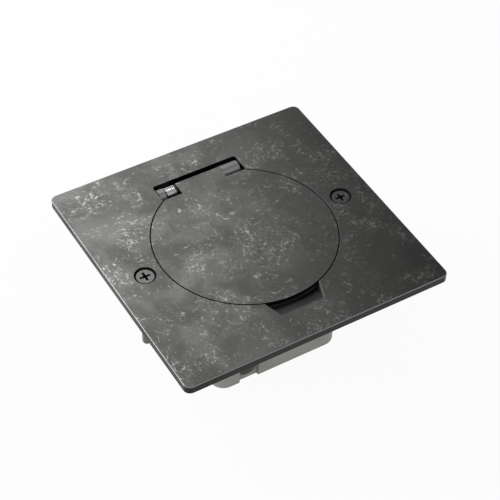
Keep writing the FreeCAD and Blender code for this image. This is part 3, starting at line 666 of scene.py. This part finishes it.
@dataclass(frozen=True, kw_only=True)
class BlackenedHead(Finish):
    """Blackened steel whose heads are rubbed like the cover, with painted shade in the recess, round the
    rim and under the head.

    A depth is measured down from the heads' tops. A pair of depths, or of radii, says where a change starts
    and ends.
    """

    screw_reach: float
    screw_middle: float
    head_top: float
    # Painted shade: near black in the drive recess, round the rim and under the head; further down the
    # shank keeps most of its colour.
    head_shade_colour: Colour = (0.003, 0.003, 0.003)
    head_shade_depths: Span = (0.30 * MM, 0.06 * MM)
    shaded_rim_radii: Span = (3.58 * MM, 3.72 * MM)
    shank_depth: float = 3.0 * MM
    shank_brightness: float = 0.7
    gloss_spread: Span = (0.08, 0.0)
    mark_levels: Span = (0.32, 0.68)
    mark_brightness: Span = (0.72, 1.25)
    mark_size: float = 0.28 * MM
    patch_size: float = 1.1 * MM
    patch_levels: Span = (0.3, 0.7)
    mark_depth: float = 0.012 * MM

    def build(self) -> bpy.types.Material:
        """Builds the metal: fine marks in colour, gloss and bump, and painted shade by height and radius.

        Returns:
            The material.
        """
        material, graph, shader, place = self.start()
        grain = self.effect(graph, Effect.GRAIN, place, Grain=self.mark_size, Patch=self.patch_size)
        tone = graph.add("VectorMath", operation="SCALE")
        tone.inputs[0].default_value = self.colour
        brightness = graph.ramp(grain["Grain"], *self.mark_levels, *self.mark_brightness)
        graph.feed(tone.inputs["Scale"], brightness)
        # Painted shade by height and distance from the axis: the tone shows only on the head's top inside
        # the rim, and mostly on the shank further down.
        height = graph.axes(place)["Z"]
        deep, shallow = self.head_shade_depths
        flush = graph.ramp(height, self.head_top - deep, self.head_top - shallow)
        screws = self.effect(graph, Effect.SCREWS, place, Reach=self.screw_reach, Middle=self.screw_middle)
        head = graph.maths("MULTIPLY", flush, graph.ramp(screws["Away"], *self.shaded_rim_radii, 1.0, 0.0))
        below = graph.maths("LESS_THAN", height, self.head_top - self.shank_depth)
        unshaded = graph.maths("MAXIMUM", head, graph.maths("MULTIPLY", below, self.shank_brightness))
        graph.feed(shader.inputs["Base Color"], graph.blend(unshaded, self.head_shade_colour, tone.outputs[0]))
        graph.feed(shader.inputs["Roughness"], self.vary_gloss(graph, grain["Patch"], self.patch_levels))
        self.emboss(graph, shader, grain["Grain"], self.mark_depth)
        return material


def screw_axes() -> tuple[float, float, float]:
    """Reads where the two plate screws stand from their CAD box.

    Returns:
        How far each axis stands from the middle along X, its Y, and the height of the heads' tops.
    """
    low, high = box_of("plate_screws")
    head = (high[1] - low[1]) / 2
    return float(high[0] - head), float(low[1] + head), float(high[2])


SCREW_REACH, SCREW_MIDDLE, SCREW_TOP = screw_axes()
ANTIQUE = AntiqueMetal("antique_pewter_metal", (0.19, 0.191, 0.184), 0.40, 1.0, screw_reach=SCREW_REACH,
                       screw_middle=SCREW_MIDDLE, face_height=float(box_of("cover_plate")[1][2]))
DARK_SCREW = BlackenedHead("screw_blackened_steel", (0.20, 0.20, 0.193), 0.36, 1.0, screw_reach=SCREW_REACH,
                           screw_middle=SCREW_MIDDLE, head_top=SCREW_TOP)
CAST = Moulding("bracket_cast_metal", (0.28, 0.28, 0.275), 0.42, 0.6, patch_colour=(0.22, 0.22, 0.216),
                grain_size=0.35 * MM)
PIN_STEEL = DrawnMetal("pin_drawn_steel", (0.50, 0.50, 0.49), 0.3, 1.0, tarnish_colour=(0.40, 0.40, 0.39))
SPRING_STEEL = DrawnMetal("spring_bright_wire", (0.62, 0.62, 0.61), 0.26, 1.0,
                          tarnish_colour=(0.50, 0.50, 0.49))
ZINC = DrawnMetal("screw_zinc_plate", (0.56, 0.57, 0.58), 0.34, 1.0, tarnish_colour=(0.46, 0.47, 0.48))
STRIP_BRASS = DrawnMetal("contact_strip_brass", (0.72, 0.50, 0.20), 0.3, 1.0,
                         tarnish_colour=(0.55, 0.37, 0.15))
BLOCK_BRASS = DrawnMetal("terminal_block_brass", (0.68, 0.47, 0.20), 0.34, 1.0,
                         tarnish_colour=(0.50, 0.34, 0.15))
GREY = Moulding("grey_moulded_plastic", (0.27, 0.275, 0.25), 0.55, patch_colour=(0.25, 0.255, 0.232))
DARK_GREY = Moulding("dark_grey_well_plastic", (0.070, 0.071, 0.070), 0.5,
                     patch_colour=(0.060, 0.061, 0.060))
BLACK = Moulding("black_socket_plastic", (0.018, 0.018, 0.019), 0.32, patch_colour=(0.014, 0.014, 0.015),
                 grain_depth=0.008 * MM)
CREAM = Moulding("cream_carrier_plastic", (0.62, 0.58, 0.48), 0.5, patch_colour=(0.57, 0.53, 0.44))
SHUTTER_WHITE = Moulding("white_shutter_plastic", (0.66, 0.66, 0.64), 0.45, patch_colour=(0.60, 0.60, 0.58))
RUBBER = Moulding("black_seal_rubber", (0.022, 0.022, 0.022), 0.7, patch_colour=(0.03, 0.03, 0.03),
                  grain_size=0.4 * MM)


# ---------------------------------------------------------------- surfaces
def smoothstep(values: Array, low: float, high: float) -> Array:
    """Rises from 0 at low to 1 at high along 3t^2 - 2t^3."""
    share = np.clip((values - low) / (high - low), 0.0, 1.0)
    return share * share * (3.0 - 2.0 * share)


def grid_faces(rows: int, columns: int) -> Array:
    """Joins a grid of points that closes on itself from the last column to the first.

    Args:
        rows: how many rings of points.
        columns: how many points in each ring.

    Returns:
        One row of four point numbers for each face.
    """
    row, column = np.meshgrid(np.arange(rows - 1), np.arange(columns), indexing="ij")
    following = (column + 1) % columns
    corners = (row * columns + column, (row + 1) * columns + column,
               (row + 1) * columns + following, row * columns + following)
    return np.stack(corners, axis=-1).reshape(-1, 4)


@dataclass
class Shell:
    """Points and faces of one closed surface."""

    points: Array
    faces: Array

    @classmethod
    def from_rings(cls, rings: Array) -> Shell:
        """Closes a stack of rings with a fan of triangles to a point at each end.

        Args:
            rings: points as rings x columns x 3; the first and last ring are closed on their middles.

        Returns:
            The closed shell. A triangle's row names its last point twice.
        """
        rows, columns, _ = rings.shape
        ends = np.stack([rings[0].mean(axis=0), rings[-1].mean(axis=0)])
        points = np.vstack([rings.reshape(-1, 3), ends])
        first = np.arange(columns)
        following = (first + 1) % columns
        last = (rows - 1) * columns
        near = np.full(columns, rows * columns)
        start = np.stack([near, first, following, following], axis=-1)
        finish = np.stack([near + 1, last + following, last + first, last + first], axis=-1)
        return cls(points, np.vstack([grid_faces(rows, columns), start, finish]))

    def placed(self, origin: Array, direction: Array) -> Shell:
        """Turns the shell's -Z to a direction and moves its origin.

        Args:
            origin: where the shell's origin goes.
            direction: where the shell's -Z goes, as a unit vector along X, Y or Z.

        Returns:
            The shell in its place.
        """
        turn = np.array(Vector((0, 0, -1)).rotation_difference(Vector(direction)).to_matrix())
        return Shell(self.points @ turn.T + origin, self.faces)


def mesh_from(name: str, shells: list[Shell], smooth_angle: float = 40.0) -> bpy.types.Object:
    """Makes one object of closed shells.

    Args:
        name: the piece's name.
        shells: the surfaces.
        smooth_angle: edges sharper than this, in degrees, stay crisp.

    Returns:
        The object, at the origin, with its faces outwards.
    """
    offsets = np.cumsum([0] + [len(shell.points) for shell in shells])
    points = np.vstack([shell.points for shell in shells])
    faces = np.vstack([shell.faces + offset for shell, offset in zip(shells, offsets)])
    mesh = bpy.data.meshes.new(name)
    lists = [face[:3] if face[2] == face[3] else face for face in faces.tolist()]
    mesh.from_pydata(points.tolist(), [], lists)
    mesh.validate()
    piece = bpy.data.objects.new(name, mesh)
    bpy.context.scene.collection.objects.link(piece)
    face_outwards(mesh)
    shade(mesh, smooth_angle)
    return piece


def face_outwards(mesh: bpy.types.Mesh) -> None:
    """Recalculates a closed mesh's normals.

    Args:
        mesh: the mesh, whose faces point out of it afterwards.
    """
    work = bmesh.new()
    work.from_mesh(mesh)
    bmesh.ops.recalc_face_normals(work, faces=work.faces)
    work.to_mesh(mesh)
    work.free()


def shade(mesh: bpy.types.Mesh, smooth_angle: float) -> None:
    """Shades a mesh smooth but for its sharp edges.

    Args:
        mesh: the mesh.
        smooth_angle: edges sharper than this, in degrees, stay crisp.
    """
    mesh.shade_smooth()
    mesh.set_sharp_from_angle(angle=math.radians(smooth_angle))
    mesh.update()


def turned(radius: Array, height: Array, angle: Array) -> Array:
    """Turns a profile about Z: a point of angle a is (r cos a, r sin a, z).

    Args:
        radius: a column of one radius for each ring, or a radius for each ring and angle.
        height: the height of each ring.
        angle: the angles round every ring.

    Returns:
        Points as rings x angles x 3.
    """
    level = np.repeat(height[:, None], len(angle), axis=1)
    return np.stack([radius * np.cos(angle), radius * np.sin(angle), level], axis=-1)


def tube(path: Array, centre: Array, radius: float, sides: int) -> Shell:
    """Carries a circle along a path.

    At each point the circle lies across the path's tangent T. Its first axis N is the way from the centre
    line to the point, less its part along T, and its second is T x N.

    Args:
        path: the points that the tube follows.
        centre: a point near each point of the path, from which the first axis is measured.
        radius: the tube's radius.
        sides: points around the tube.

    Returns:
        The closed tube.
    """
    tangent = np.gradient(path, axis=0)
    tangent /= np.linalg.norm(tangent, axis=1, keepdims=True)
    outward = path - centre
    outward -= (outward * tangent).sum(axis=1, keepdims=True) * tangent
    outward /= np.linalg.norm(outward, axis=1, keepdims=True)
    across = np.cross(tangent, outward)
    angle = np.linspace(0, FULL_TURN, sides, endpoint=False)[None, :, None]
    ring = outward[:, None] * np.cos(angle) + across[:, None] * np.sin(angle)
    return Shell.from_rings(path[:, None] + radius * ring)


def eased(path: Array, step: float, reach: float) -> Array:
    """Rounds the corners of a path.

    The path is sampled at even steps of its length, and each sample becomes the mean of its neighbours
    within the reach; the two ends stay where they are.

    Args:
        path: the path's points.
        step: the distance between samples.
        reach: how far on each side the mean goes.

    Returns:
        The rounded path.
    """
    lengths = np.concatenate([[0.0], np.cumsum(np.linalg.norm(np.diff(path, axis=0), axis=1))])
    samples = np.linspace(0.0, lengths[-1], max(3, int(lengths[-1] / step)))
    even = np.stack([np.interp(samples, lengths, path[:, axis]) for axis in range(3)], axis=1)
    half = max(1, int(reach / step))
    padded = np.vstack([np.repeat(even[:1], half, axis=0), even, np.repeat(even[-1:], half, axis=0)])
    kernel = np.ones(2 * half + 1) / (2 * half + 1)
    rounded = np.stack([np.convolve(padded[:, axis], kernel, mode="valid") for axis in range(3)], axis=1)
    rounded[0], rounded[-1] = even[0], even[-1]
    return rounded


# ---------------------------------------------------------------- screws
class Drive(Enum):
    """The recess in a screw's head, with half its length as a share of the head's radius."""

    CROSS = 0.6
    SLOT = 1.2


# Shares of the head's radius.
BAR_HALF_WIDTH = 0.135
BAR_WALL = 0.05
PAN_DOME = 0.16
TOP_START, TOP_END = 0.02, 0.97
COUNTERSUNK_RIM = ((1.0, -0.03), (1.0, -0.09), (0.97, -0.13))
PAN_FOOT = 0.96
# How far the rim of a pan head lies under its middle, as a share of the dome.
PAN_RIM = 1.3
# Shares of the head's height.
DRIVE_DEPTH = 0.8
PAN_SIDE = 0.93
SHANK_START = 0.9
# How much shallower a cross is at the ends of its bars, as a share of its depth.
CROSS_SHALLOWING = 0.55
# Shares of the shank's radius.
HEAD_ROOT = 0.9
POINT_TAPER = 0.45
# The thread's height as a share of its pitch, and how its triangle wave is raised and cut flat.
THREAD_HEIGHT = 0.32
WAVE_RAISE, WAVE_CUT = 1.6, 0.25
# Steps of the mesh.
TOP_RINGS = 44
RINGS_PER_PITCH = 7


@dataclass
class Screw:
    """One kind of screw, hanging down -Z from the middle of its head's top."""

    head_radius: float
    head_height: float
    shank_radius: float
    length: float
    pitch: float
    countersunk: bool
    drive: Drive = Drive.CROSS
    point: float = 0.3 * MM
    neck_radius: float = 0.0
    neck_end: float = 0.0
    columns: int = 64

    def recess(self, x: Array, y: Array) -> Array:
        """Works out how deep the drive is at each place of the head.

        The distance to the edge of a bar is the greater of |x| less its half length and |y| less its half
        width; a cross is the nearer of two bars. The depth rises steeply inside that edge, and a cross
        grows deeper towards the head's middle.

        Args:
            x: places across the head.
            y: places across the head.

        Returns:
            The depth at each place.
        """
        half = self.drive.value * self.head_radius
        width = BAR_HALF_WIDTH * self.head_radius
        edge = np.maximum(np.abs(x) - half, np.abs(y) - width)
        deep = DRIVE_DEPTH * self.head_height
        if self.drive is Drive.CROSS:
            edge = np.minimum(edge, np.maximum(np.abs(y) - half, np.abs(x) - width))
            deep = deep * (1.0 - CROSS_SHALLOWING * np.clip(np.hypot(x, y) / half, 0.0, 1.0))
        return deep * smoothstep(-edge, 0.0, BAR_WALL * self.head_radius)

    def head(self) -> Shell:
        """Turns the head: its top with the recess, its rim, and its cone or flat underside.

        Returns:
            The head's closed shell.
        """
        angle = np.linspace(0, FULL_TURN, self.columns, endpoint=False)
        share = np.linspace(TOP_START, TOP_END, TOP_RINGS)
        top = turned(self.head_radius * share[:, None], np.zeros(TOP_RINGS), angle)
        dome = 0.0 if self.countersunk else PAN_DOME * self.head_radius
        top[..., 2] = -self.recess(top[..., 0], top[..., 1]) - dome * share[:, None] ** 2
        if self.countersunk:
            side = [(share_out * self.head_radius, share_up * self.head_radius)
                    for share_out, share_up in COUNTERSUNK_RIM]
        else:
            side = [(self.head_radius, -PAN_RIM * dome), (self.head_radius, -PAN_SIDE * self.head_height),
                    (PAN_FOOT * self.head_radius, -self.head_height)]
        side.append((HEAD_ROOT * self.shank_radius, -self.head_height))
        radii, heights = np.array(side).T
        return Shell.from_rings(np.concatenate([top, turned(radii[:, None], heights, angle)]))

    def thread(self) -> Shell:
        """Winds the thread.

        The radius at angle a and depth z is the root plus the thread's height times a flattened triangle
        wave of (z / pitch + a / turn), and it fades to the root at the neck and the point.

        Returns:
            The shank's closed shell, with its neck if it has one.
        """
        start, stop = -max(SHANK_START * self.head_height, self.neck_end), -self.length
        depth = np.linspace(start, stop, int((start - stop) / self.pitch * RINGS_PER_PITCH))
        angle = np.linspace(0, FULL_TURN, self.columns // 2, endpoint=False)
        phase = (depth[:, None] / self.pitch + angle[None, :] / FULL_TURN) % 1.0
        wave = np.clip(WAVE_RAISE * (1.0 - np.abs(2.0 * phase - 1.0)) - WAVE_CUT, 0.0, 1.0)
        fade = smoothstep(-depth, -start, -start + self.pitch)
        fade = fade * smoothstep(depth, stop, stop + self.point + self.pitch)
        radius = self.shank_radius - THREAD_HEIGHT * self.pitch * (1.0 - wave * fade[:, None])
        taper = 1.0 - POINT_TAPER * (1.0 - smoothstep(depth, stop, stop + self.point))
        radius = radius * taper[:, None]
        if self.neck_end:
            radius = np.vstack([np.full((2, len(angle)), self.neck_radius), radius])
            depth = np.concatenate([[-SHANK_START * self.head_height, start], depth])
        return Shell.from_rings(turned(radius, depth, angle))

    def shells(self, places: list[tuple[Array, Array]]) -> list[Shell]:
        """Makes the screw at each place, given as its head's middle and the way that it points."""
        made = [self.head(), self.thread()]
        return [shell.placed(origin, direction) for origin, direction in places for shell in made]


@dataclass
class ScrewPair:
    """Two upright screws that stand side by side along X and fill their CAD box."""

    head_radius: float
    length: float
    places: list[tuple[Array, Array]]

    @classmethod
    def from_box(cls, node: str, pointing: Array) -> ScrewPair:
        """Reads the two screws from their CAD box.

        Args:
            node: the CAD node that holds both.
            pointing: the way that they point, up or down.

        Returns:
            The pair, with each head's middle and the way that the screw points.
        """
        low, high = box_of(node)
        head = (high[1] - low[1]) / 2
        middle = (low[1] + high[1]) / 2
        top = low[2] if pointing[2] > 0 else high[2]
        places = [(np.array([x, middle, top]), pointing) for x in (low[0] + head, high[0] - head)]
        return cls(head, high[2] - low[2], places)


SMALL_SHANK = 1.25 * MM
SMALL_PITCH = 0.5 * MM
PAN_HEIGHT = 1.5 * MM


# ---------------------------------------------------------------- sub-assemblies
WELD_DISTANCE = 0.0005 * MM
FLAT_DEGREES = 0.4
SHARP_DEGREES = 35.0
POLES = ("live", "neutral", "earth")
# Points in each turn of a spring.
RETURN_STEPS = 48
HINGE_STEPS = 60


@dataclass
class SubAssembly:
    """Pieces that belong together, with the calls that place and dress them."""

    pieces: list[bpy.types.Object] = field(default_factory=list, init=False)

    def finish_piece(self, piece: bpy.types.Object, node: str, finish: Finish) -> None:
        """Gives a new piece its finish and hides the CAD node that it stands for.

        Args:
            piece: the new piece.
            node: the CAD node that it replaces.
            finish: the finish to wear.
        """
        piece.data.materials.clear()
        piece.data.materials.append(finish.material())
        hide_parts(node)
        self.pieces.append(piece)
        LOG.info("%s: %d faces, %s", piece.name, len(piece.data.polygons), finish.name)

    def soften(self, node: str, finish: Finish, edge: float, segments: int = 2) -> None:
        """Puts a copy of a CAD node in its place, with small rounds on its sharp edges.

        Args:
            node: the CAD node.
            finish: the finish to wear.
            edge: how wide the round is, in metres.
            segments: faces across each round.
        """
        mesh = frame["nodes"][node].data.copy()
        mesh.name = f"{node}_dressed"
        work = bmesh.new()
        work.from_mesh(mesh)
        bmesh.ops.remove_doubles(work, verts=work.verts, dist=WELD_DISTANCE)
        bmesh.ops.dissolve_limit(work, angle_limit=math.radians(FLAT_DEGREES), verts=work.verts,
                                 edges=work.edges)
        work.to_mesh(mesh)
        work.free()
        piece = bpy.data.objects.new(f"{node}_dressed", mesh)
        bpy.context.scene.collection.objects.link(piece)
        shade(mesh, SHARP_DEGREES)
        bevel = piece.modifiers.new("edge_round", "BEVEL")
        bevel.width = edge
        bevel.segments = segments
        bevel.limit_method = "ANGLE"
        bevel.angle_limit = math.radians(SHARP_DEGREES)
        even = piece.modifiers.new("even_shading", "WEIGHTED_NORMAL")
        even.keep_sharp = True
        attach(piece, body_of(node))
        self.finish_piece(piece, node, finish)

    def fit_screws(self, node: str, finish: Finish, screw: Screw,
                   places: list[tuple[Array, Array]]) -> None:
        """Puts real screws in the place of a CAD node's plain ones.

        Args:
            node: the CAD node.
            finish: the finish to wear.
            screw: the kind of screw.
            places: each head's middle and the way that the screw points.
        """
        piece = mesh_from(f"{node}_dressed", screw.shells(places))
        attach(piece, "box")
        self.finish_piece(piece, node, finish)


@dataclass
class HousingAssembly(SubAssembly):
    """The grey back box and well, with the screws in the flange."""

    edge: float = 0.35 * MM
    screw_head: float = 2.2 * MM

    def build(self) -> None:
        """Dresses both mouldings and fits the flange's four screws."""
        self.soften("housing", GREY, self.edge, segments=3)
        self.soften("socket_well", DARK_GREY, self.edge)
        low, high = box_of("housing_screws")
        screw = Screw(self.screw_head, PAN_HEIGHT, SMALL_SHANK, high[2] - low[2], SMALL_PITCH, False)
        across, along = ((low[axis] + self.screw_head, high[axis] - self.screw_head) for axis in (0, 1))
        places = [(np.array([x, y, low[2]]), UP) for x in across for y in along]
        self.fit_screws("housing_screws", ZINC, screw, places)


@dataclass
class SocketAssembly(SubAssembly):
    """The socket's face, its shutter, and the carrier with contacts and terminals."""

    wire: float = 0.4 * MM
    coils: float = 9.0
    flat_share: float = 0.08
    rise_share: float = 0.06
    rise_softness: float = 0.25
    face_head: float = 1.35 * MM
    clamp_head: float = 1.8 * MM
    clamp_shank: float = 1.6 * MM
    clamp_length: float = 4.3 * MM
    lip_flare: float = 1.0 * MM

    def build(self) -> None:
        """Dresses every piece of the socket."""
        self.soften("socket_face", BLACK, 0.2 * MM)
        self.soften("shutter", SHUTTER_WHITE, 0.15 * MM)
        self.soften("contact_carrier", CREAM, 0.2 * MM)
        for pole in POLES:
            self.soften(f"{pole}_contact", STRIP_BRASS, 0.08 * MM)
            self.soften(f"{pole}_terminal", BLOCK_BRASS, 0.12 * MM)
        self.wind_return_spring()
        pair = ScrewPair.from_box("face_screws", DOWN)
        screw = Screw(pair.head_radius, self.face_head, SMALL_SHANK, pair.length, SMALL_PITCH, True,
                      columns=80)
        self.fit_screws("face_screws", ZINC, screw, pair.places)
        self.fit_clamp_screws()

    def wind_return_spring(self) -> None:
        """Winds the shutter's spring: a helix about Y whose ends lie flat against what they push on.

        The wire runs from the high end of Y to the low one. It climbs evenly between its two flat ends,
        blended with a smooth climb, and each flat end lies one wire's width further out than its helix.
        """
        low, high = box_of("shutter_spring")
        radius = (high[0] - low[0] - self.wire) / 2
        centre_z = (low[2] + high[2]) / 2
        front, back = low[1] + 1.5 * self.wire, high[1] - 1.5 * self.wire
        share = np.linspace(0.0, 1.0, int(RETURN_STEPS * self.coils))
        turn = FULL_TURN * self.coils * share
        even_rise = np.clip((share - self.flat_share) / (1.0 - 2.0 * self.flat_share), 0.0, 1.0)
        soft_rise = smoothstep(share, self.rise_share, 1.0 - self.rise_share)
        rise = self.rise_softness * soft_rise + (1.0 - self.rise_softness) * even_rise
        from_start, from_end = (np.clip(part / self.flat_share, 0.0, 1.0) for part in (share, 1.0 - share))
        along = back + (front - back) * rise - self.wire * (from_start - from_end)
        path = np.stack([radius * np.cos(turn), along, centre_z + radius * np.sin(turn)], axis=1)
        centre = np.stack([np.zeros(len(path)), path[:, 1], np.full(len(path), centre_z)], axis=1)
        spring = mesh_from("shutter_spring_wire", [tube(path, centre, self.wire / 2, sides=10)])
        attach(spring, "box")
        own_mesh(spring)
        self.finish_piece(spring, "shutter_spring", SPRING_STEEL)

    def fit_clamp_screws(self) -> None:
        """Puts a slotted clamp screw through each contact's tail into its terminal."""
        low, high = box_of("terminal_screws")
        height, head = (low[2] + high[2]) / 2, (high[2] - low[2]) / 2
        live, neutral, earth = (sum(box_of(f"{pole}_terminal")) / 2 for pole in POLES)
        to_hinge, to_left = np.array([0.0, 1.0, 0.0]), np.array([-1.0, 0.0, 0.0])
        places = [(np.array([block[0], low[1], height]), to_hinge) for block in (live, neutral)]
        earth_head = box_of("earth_contact")[1][0] - self.lip_flare + self.clamp_head
        places.append((np.array([earth_head, earth[1], height]), to_left))
        screw = Screw(head, self.clamp_head, self.clamp_shank, self.clamp_length, SMALL_PITCH, False,
                      Drive.SLOT)
        self.fit_screws("terminal_screws", ZINC, screw, places)


@dataclass
class CoverAssembly(SubAssembly):
    """The square cover plate with its gasket, and the round flap lid with its seal."""

    plate_edge: float = 0.08 * MM
    lid_edge: float = 0.12 * MM
    rubber_edge: float = 0.25 * MM

    def build(self) -> None:
        """Dresses the plate, the lid, the gasket and the seal."""
        self.soften("cover_plate", ANTIQUE, self.plate_edge)
        self.soften("flap_lid", ANTIQUE, self.lid_edge)
        self.soften("floor_gasket", RUBBER, self.rubber_edge)
        self.soften("lid_seal", RUBBER, self.rubber_edge)


@dataclass
class HingeAssembly(SubAssembly):
    """The cast bracket, the pin and the torsion spring under the slot."""

    wire: float = 0.75 * MM
    coils: float = 6.0
    leg: float = 4.4 * MM
    hook: float = 1.9 * MM
    bend_step: float = 0.12 * MM
    bend_reach: float = 0.4 * MM

    def build(self) -> None:
        """Dresses the bracket and the pin, winds the spring and fits the two pan-headed screws."""
        self.soften("hinge_bracket", CAST, 0.3 * MM, segments=3)
        self.soften("hinge_pin", PIN_STEEL, 0.15 * MM)
        self.wind_spring()
        pair = ScrewPair.from_box("bracket_screws", UP)
        screw = Screw(pair.head_radius, PAN_HEIGHT, SMALL_SHANK, pair.length, SMALL_PITCH, False)
        self.fit_screws("bracket_screws", ZINC, screw, pair.places)

    def wind_spring(self) -> None:
        """Winds the torsion spring about the pin's axis.

        A point of the coil at turn t is the axis plus r (sin t, -cos t) across it, and moves along X evenly
        with t. The leg runs from the first turn down on to the bracket, and the hook along X into the lid.
        """
        low, high = box_of("hinge_spring")
        axis = np.array(joint_named("lid_hinge")["pos_m"])
        radius = high[2] - axis[2] - self.wire / 2
        start = low[0] + self.wire / 2
        stop = high[0] - self.hook - self.wire
        share = np.linspace(0.0, 1.0, int(HINGE_STEPS * self.coils))
        turn = FULL_TURN * self.coils * share
        coil = np.stack([start + (stop - start) * share, axis[1] + radius * np.sin(turn),
                         axis[2] - radius * np.cos(turn)], axis=1)
        drop = axis[2] - radius - low[2] - self.wire / 2
        back = math.sqrt(self.leg ** 2 - drop ** 2)
        leg = np.array([[start, axis[1] - back, axis[2] - radius - drop]])
        hook = np.array([[high[0], coil[-1, 1], coil[-1, 2]]])
        path = eased(np.vstack([leg, coil, hook]), self.bend_step, self.bend_reach)
        centre = np.stack([path[:, 0], np.full(len(path), axis[1]), np.full(len(path), axis[2])], axis=1)
        spring = mesh_from("hinge_spring_wire", [tube(path, centre, self.wire / 2, sides=14)])
        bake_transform(spring)
        self.finish_piece(spring, "hinge_spring", SPRING_STEEL)


@dataclass
class FixingScrews(SubAssembly):
    """The two long countersunk screws that hold the cover to the floor box."""

    head_height: float = 1.9 * MM
    shank: float = 2.0 * MM
    pitch: float = 0.7 * MM
    point: float = 1.2 * MM
    neck: float = 1.8 * MM
    neck_end: float = 6.4 * MM

    def build(self) -> None:
        """Fits the two blackened screws in their countersinks."""
        pair = ScrewPair.from_box("plate_screws", DOWN)
        screw = Screw(pair.head_radius, self.head_height, self.shank, pair.length, self.pitch, True,
                      point=self.point, neck_radius=self.neck, neck_end=self.neck_end, columns=120)
        self.fit_screws("plate_screws", DARK_SCREW, screw, pair.places)


# ---------------------------------------------------------------- studio
@dataclass(frozen=True)
class Lamp:
    """A soft rectangular lamp, with its place and size in metres and its power in watts."""

    name: str
    place: Point
    size: Span
    power: float


@dataclass
class Studio:
    """Floor, sky, lamps and camera."""

    lens: float = 119.49
    sensor: float = 36.0
    near_clip: float = 10 * MM
    camera_place: Point = (-248.74 * MM, -399.43 * MM, 535.44 * MM)
    looking: Point = (0.36795, 0.58552, -0.72234)
    right: Point = (0.859777, -0.510082, 0.024493)
    floor_half: float = 6.0
    floor_height: float = -0.05 * MM
    floor_grey: float = 0.85
    floor_roughness: float = 0.9
    floor_glow: float = 0.94
    flag: Point = (0.50, 0.48, 0.72)
    flag_edges: Span = (0.35, 0.84)
    flag_level: float = 0.02
    lamps: tuple[Lamp, ...] = (Lamp("back_softbox", (-0.034, 0.271, 0.276), (0.36, 0.38), 0.70),
                               Lamp("left_fill", (-0.75, 0.50, 0.42), (0.42, 0.42), 3.2))
    aim: Point = (0.0, 0.0, 50 * MM)

    def build(self) -> None:
        """Sets up everything around the object."""
        bpy.context.scene.view_settings.view_transform = "Standard"
        self.lay_floor()
        self.light_sky()
        for lamp in self.lamps:
            self.hang(lamp)
        self.set_camera()

    def lay_floor(self) -> None:
        """Lays a wide white floor that keeps the object's shadow and is clear from underneath."""
        mesh = bpy.data.meshes.new("studio_floor")
        half, height = self.floor_half, self.floor_height
        corners = [(x * half, y * half, height) for x, y in ((-1, -1), (1, -1), (1, 1), (-1, 1))]
        mesh.from_pydata(corners, [], [(0, 1, 2, 3)])
        floor = bpy.data.objects.new("studio_floor", mesh)
        bpy.context.scene.collection.objects.link(floor)
        mesh.materials.append(self.floor_material())

    def floor_material(self) -> bpy.types.Material:
        """Paints the floor white and clear from underneath.

        It glows only where it is seen directly, in a mirror or through glass.

        Returns:
            The material.
        """
        material = bpy.data.materials.new("studio_floor_white")
        material.use_nodes = True
        graph = Graph(material.node_tree)
        paint = material.node_tree.nodes["Principled BSDF"]
        paint.inputs["Base Color"].default_value = (self.floor_grey, self.floor_grey, self.floor_grey, 1.0)
        paint.inputs["Roughness"].default_value = self.floor_roughness
        seen = graph.add("LightPath").outputs
        direct = graph.maths("MAXIMUM", seen["Is Camera Ray"], seen["Is Glossy Ray"])
        direct = graph.maths("MAXIMUM", direct, seen["Is Transmission Ray"])
        share = graph.maths("MULTIPLY", direct, self.floor_glow)
        white = graph.blend_shaders(share, paint.outputs[0], graph.add("Emission").outputs[0])
        below = graph.add("NewGeometry").outputs["Backfacing"]
        surface = graph.blend_shaders(below, white, graph.add("BsdfTransparent").outputs[0])
        graph.feed(material.node_tree.nodes["Material Output"].inputs["Surface"], surface)
        return material

    def light_sky(self) -> None:
        """Makes a white sky with a dark flag in the part that the cover mirrors to its front right."""
        world = bpy.data.worlds.new("studio_sky")
        world.use_nodes = True
        graph = Graph(world.node_tree)
        facing = graph.add("VectorMath", operation="DOT_PRODUCT")
        graph.feed(facing.inputs[0], graph.add("TexCoord").outputs["Generated"])
        facing.inputs[1].default_value = Vector(self.flag).normalized()
        dimmed = graph.ramp(facing.outputs["Value"], *self.flag_edges, 1.0, self.flag_level)
        level = graph.maths("MAXIMUM", dimmed, graph.add("LightPath").outputs["Is Camera Ray"])
        colour = graph.add("CombineColor")
        for socket in colour.inputs[:3]:
            graph.feed(socket, level)
        graph.feed(world.node_tree.nodes["Background"].inputs["Color"], colour.outputs[0])
        bpy.context.scene.world = world

    def hang(self, lamp: Lamp) -> None:
        """Hangs a lamp that lights the cover and isn't seen itself.

        Args:
            lamp: the lamp.
        """
        data = bpy.data.lights.new(lamp.name, "AREA")
        data.shape = "RECTANGLE"
        data.size, data.size_y = lamp.size
        data.energy = lamp.power
        light = bpy.data.objects.new(lamp.name, data)
        light.location = lamp.place
        light.visible_camera = False
        light.rotation_euler = (Vector(self.aim) - Vector(lamp.place)).to_track_quat("-Z", "Y").to_euler()
        bpy.context.scene.collection.objects.link(light)

    def set_camera(self) -> None:
        """Puts the camera at its place, looking down at the cover from the front left."""
        data = bpy.data.cameras.new("view_camera")
        data.lens = self.lens
        data.sensor_width = self.sensor
        data.clip_start = self.near_clip
        camera = bpy.data.objects.new("view_camera", data)
        right, ahead = Vector(self.right).normalized(), Vector(self.looking).normalized()
        turn = Matrix((right, right.cross(ahead), -ahead)).transposed()
        camera.matrix_world = Matrix.Translation(self.camera_place) @ turn.to_4x4()
        bpy.context.scene.collection.objects.link(camera)
        bpy.context.scene.camera = camera


def main() -> None:
    """Builds the pieces in the order of assembly."""
    logging.basicConfig(level=logging.INFO, format="%(name)s: %(message)s", stream=sys.stdout)
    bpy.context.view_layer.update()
    Studio().build()
    for assembly in (HousingAssembly(), SocketAssembly(), CoverAssembly(), HingeAssembly(), FixingScrews()):
        assembly.build()
        LOG.info("%s has %d pieces", type(assembly).__name__, len(assembly.pieces))


if __name__ == "__main__":
    main()
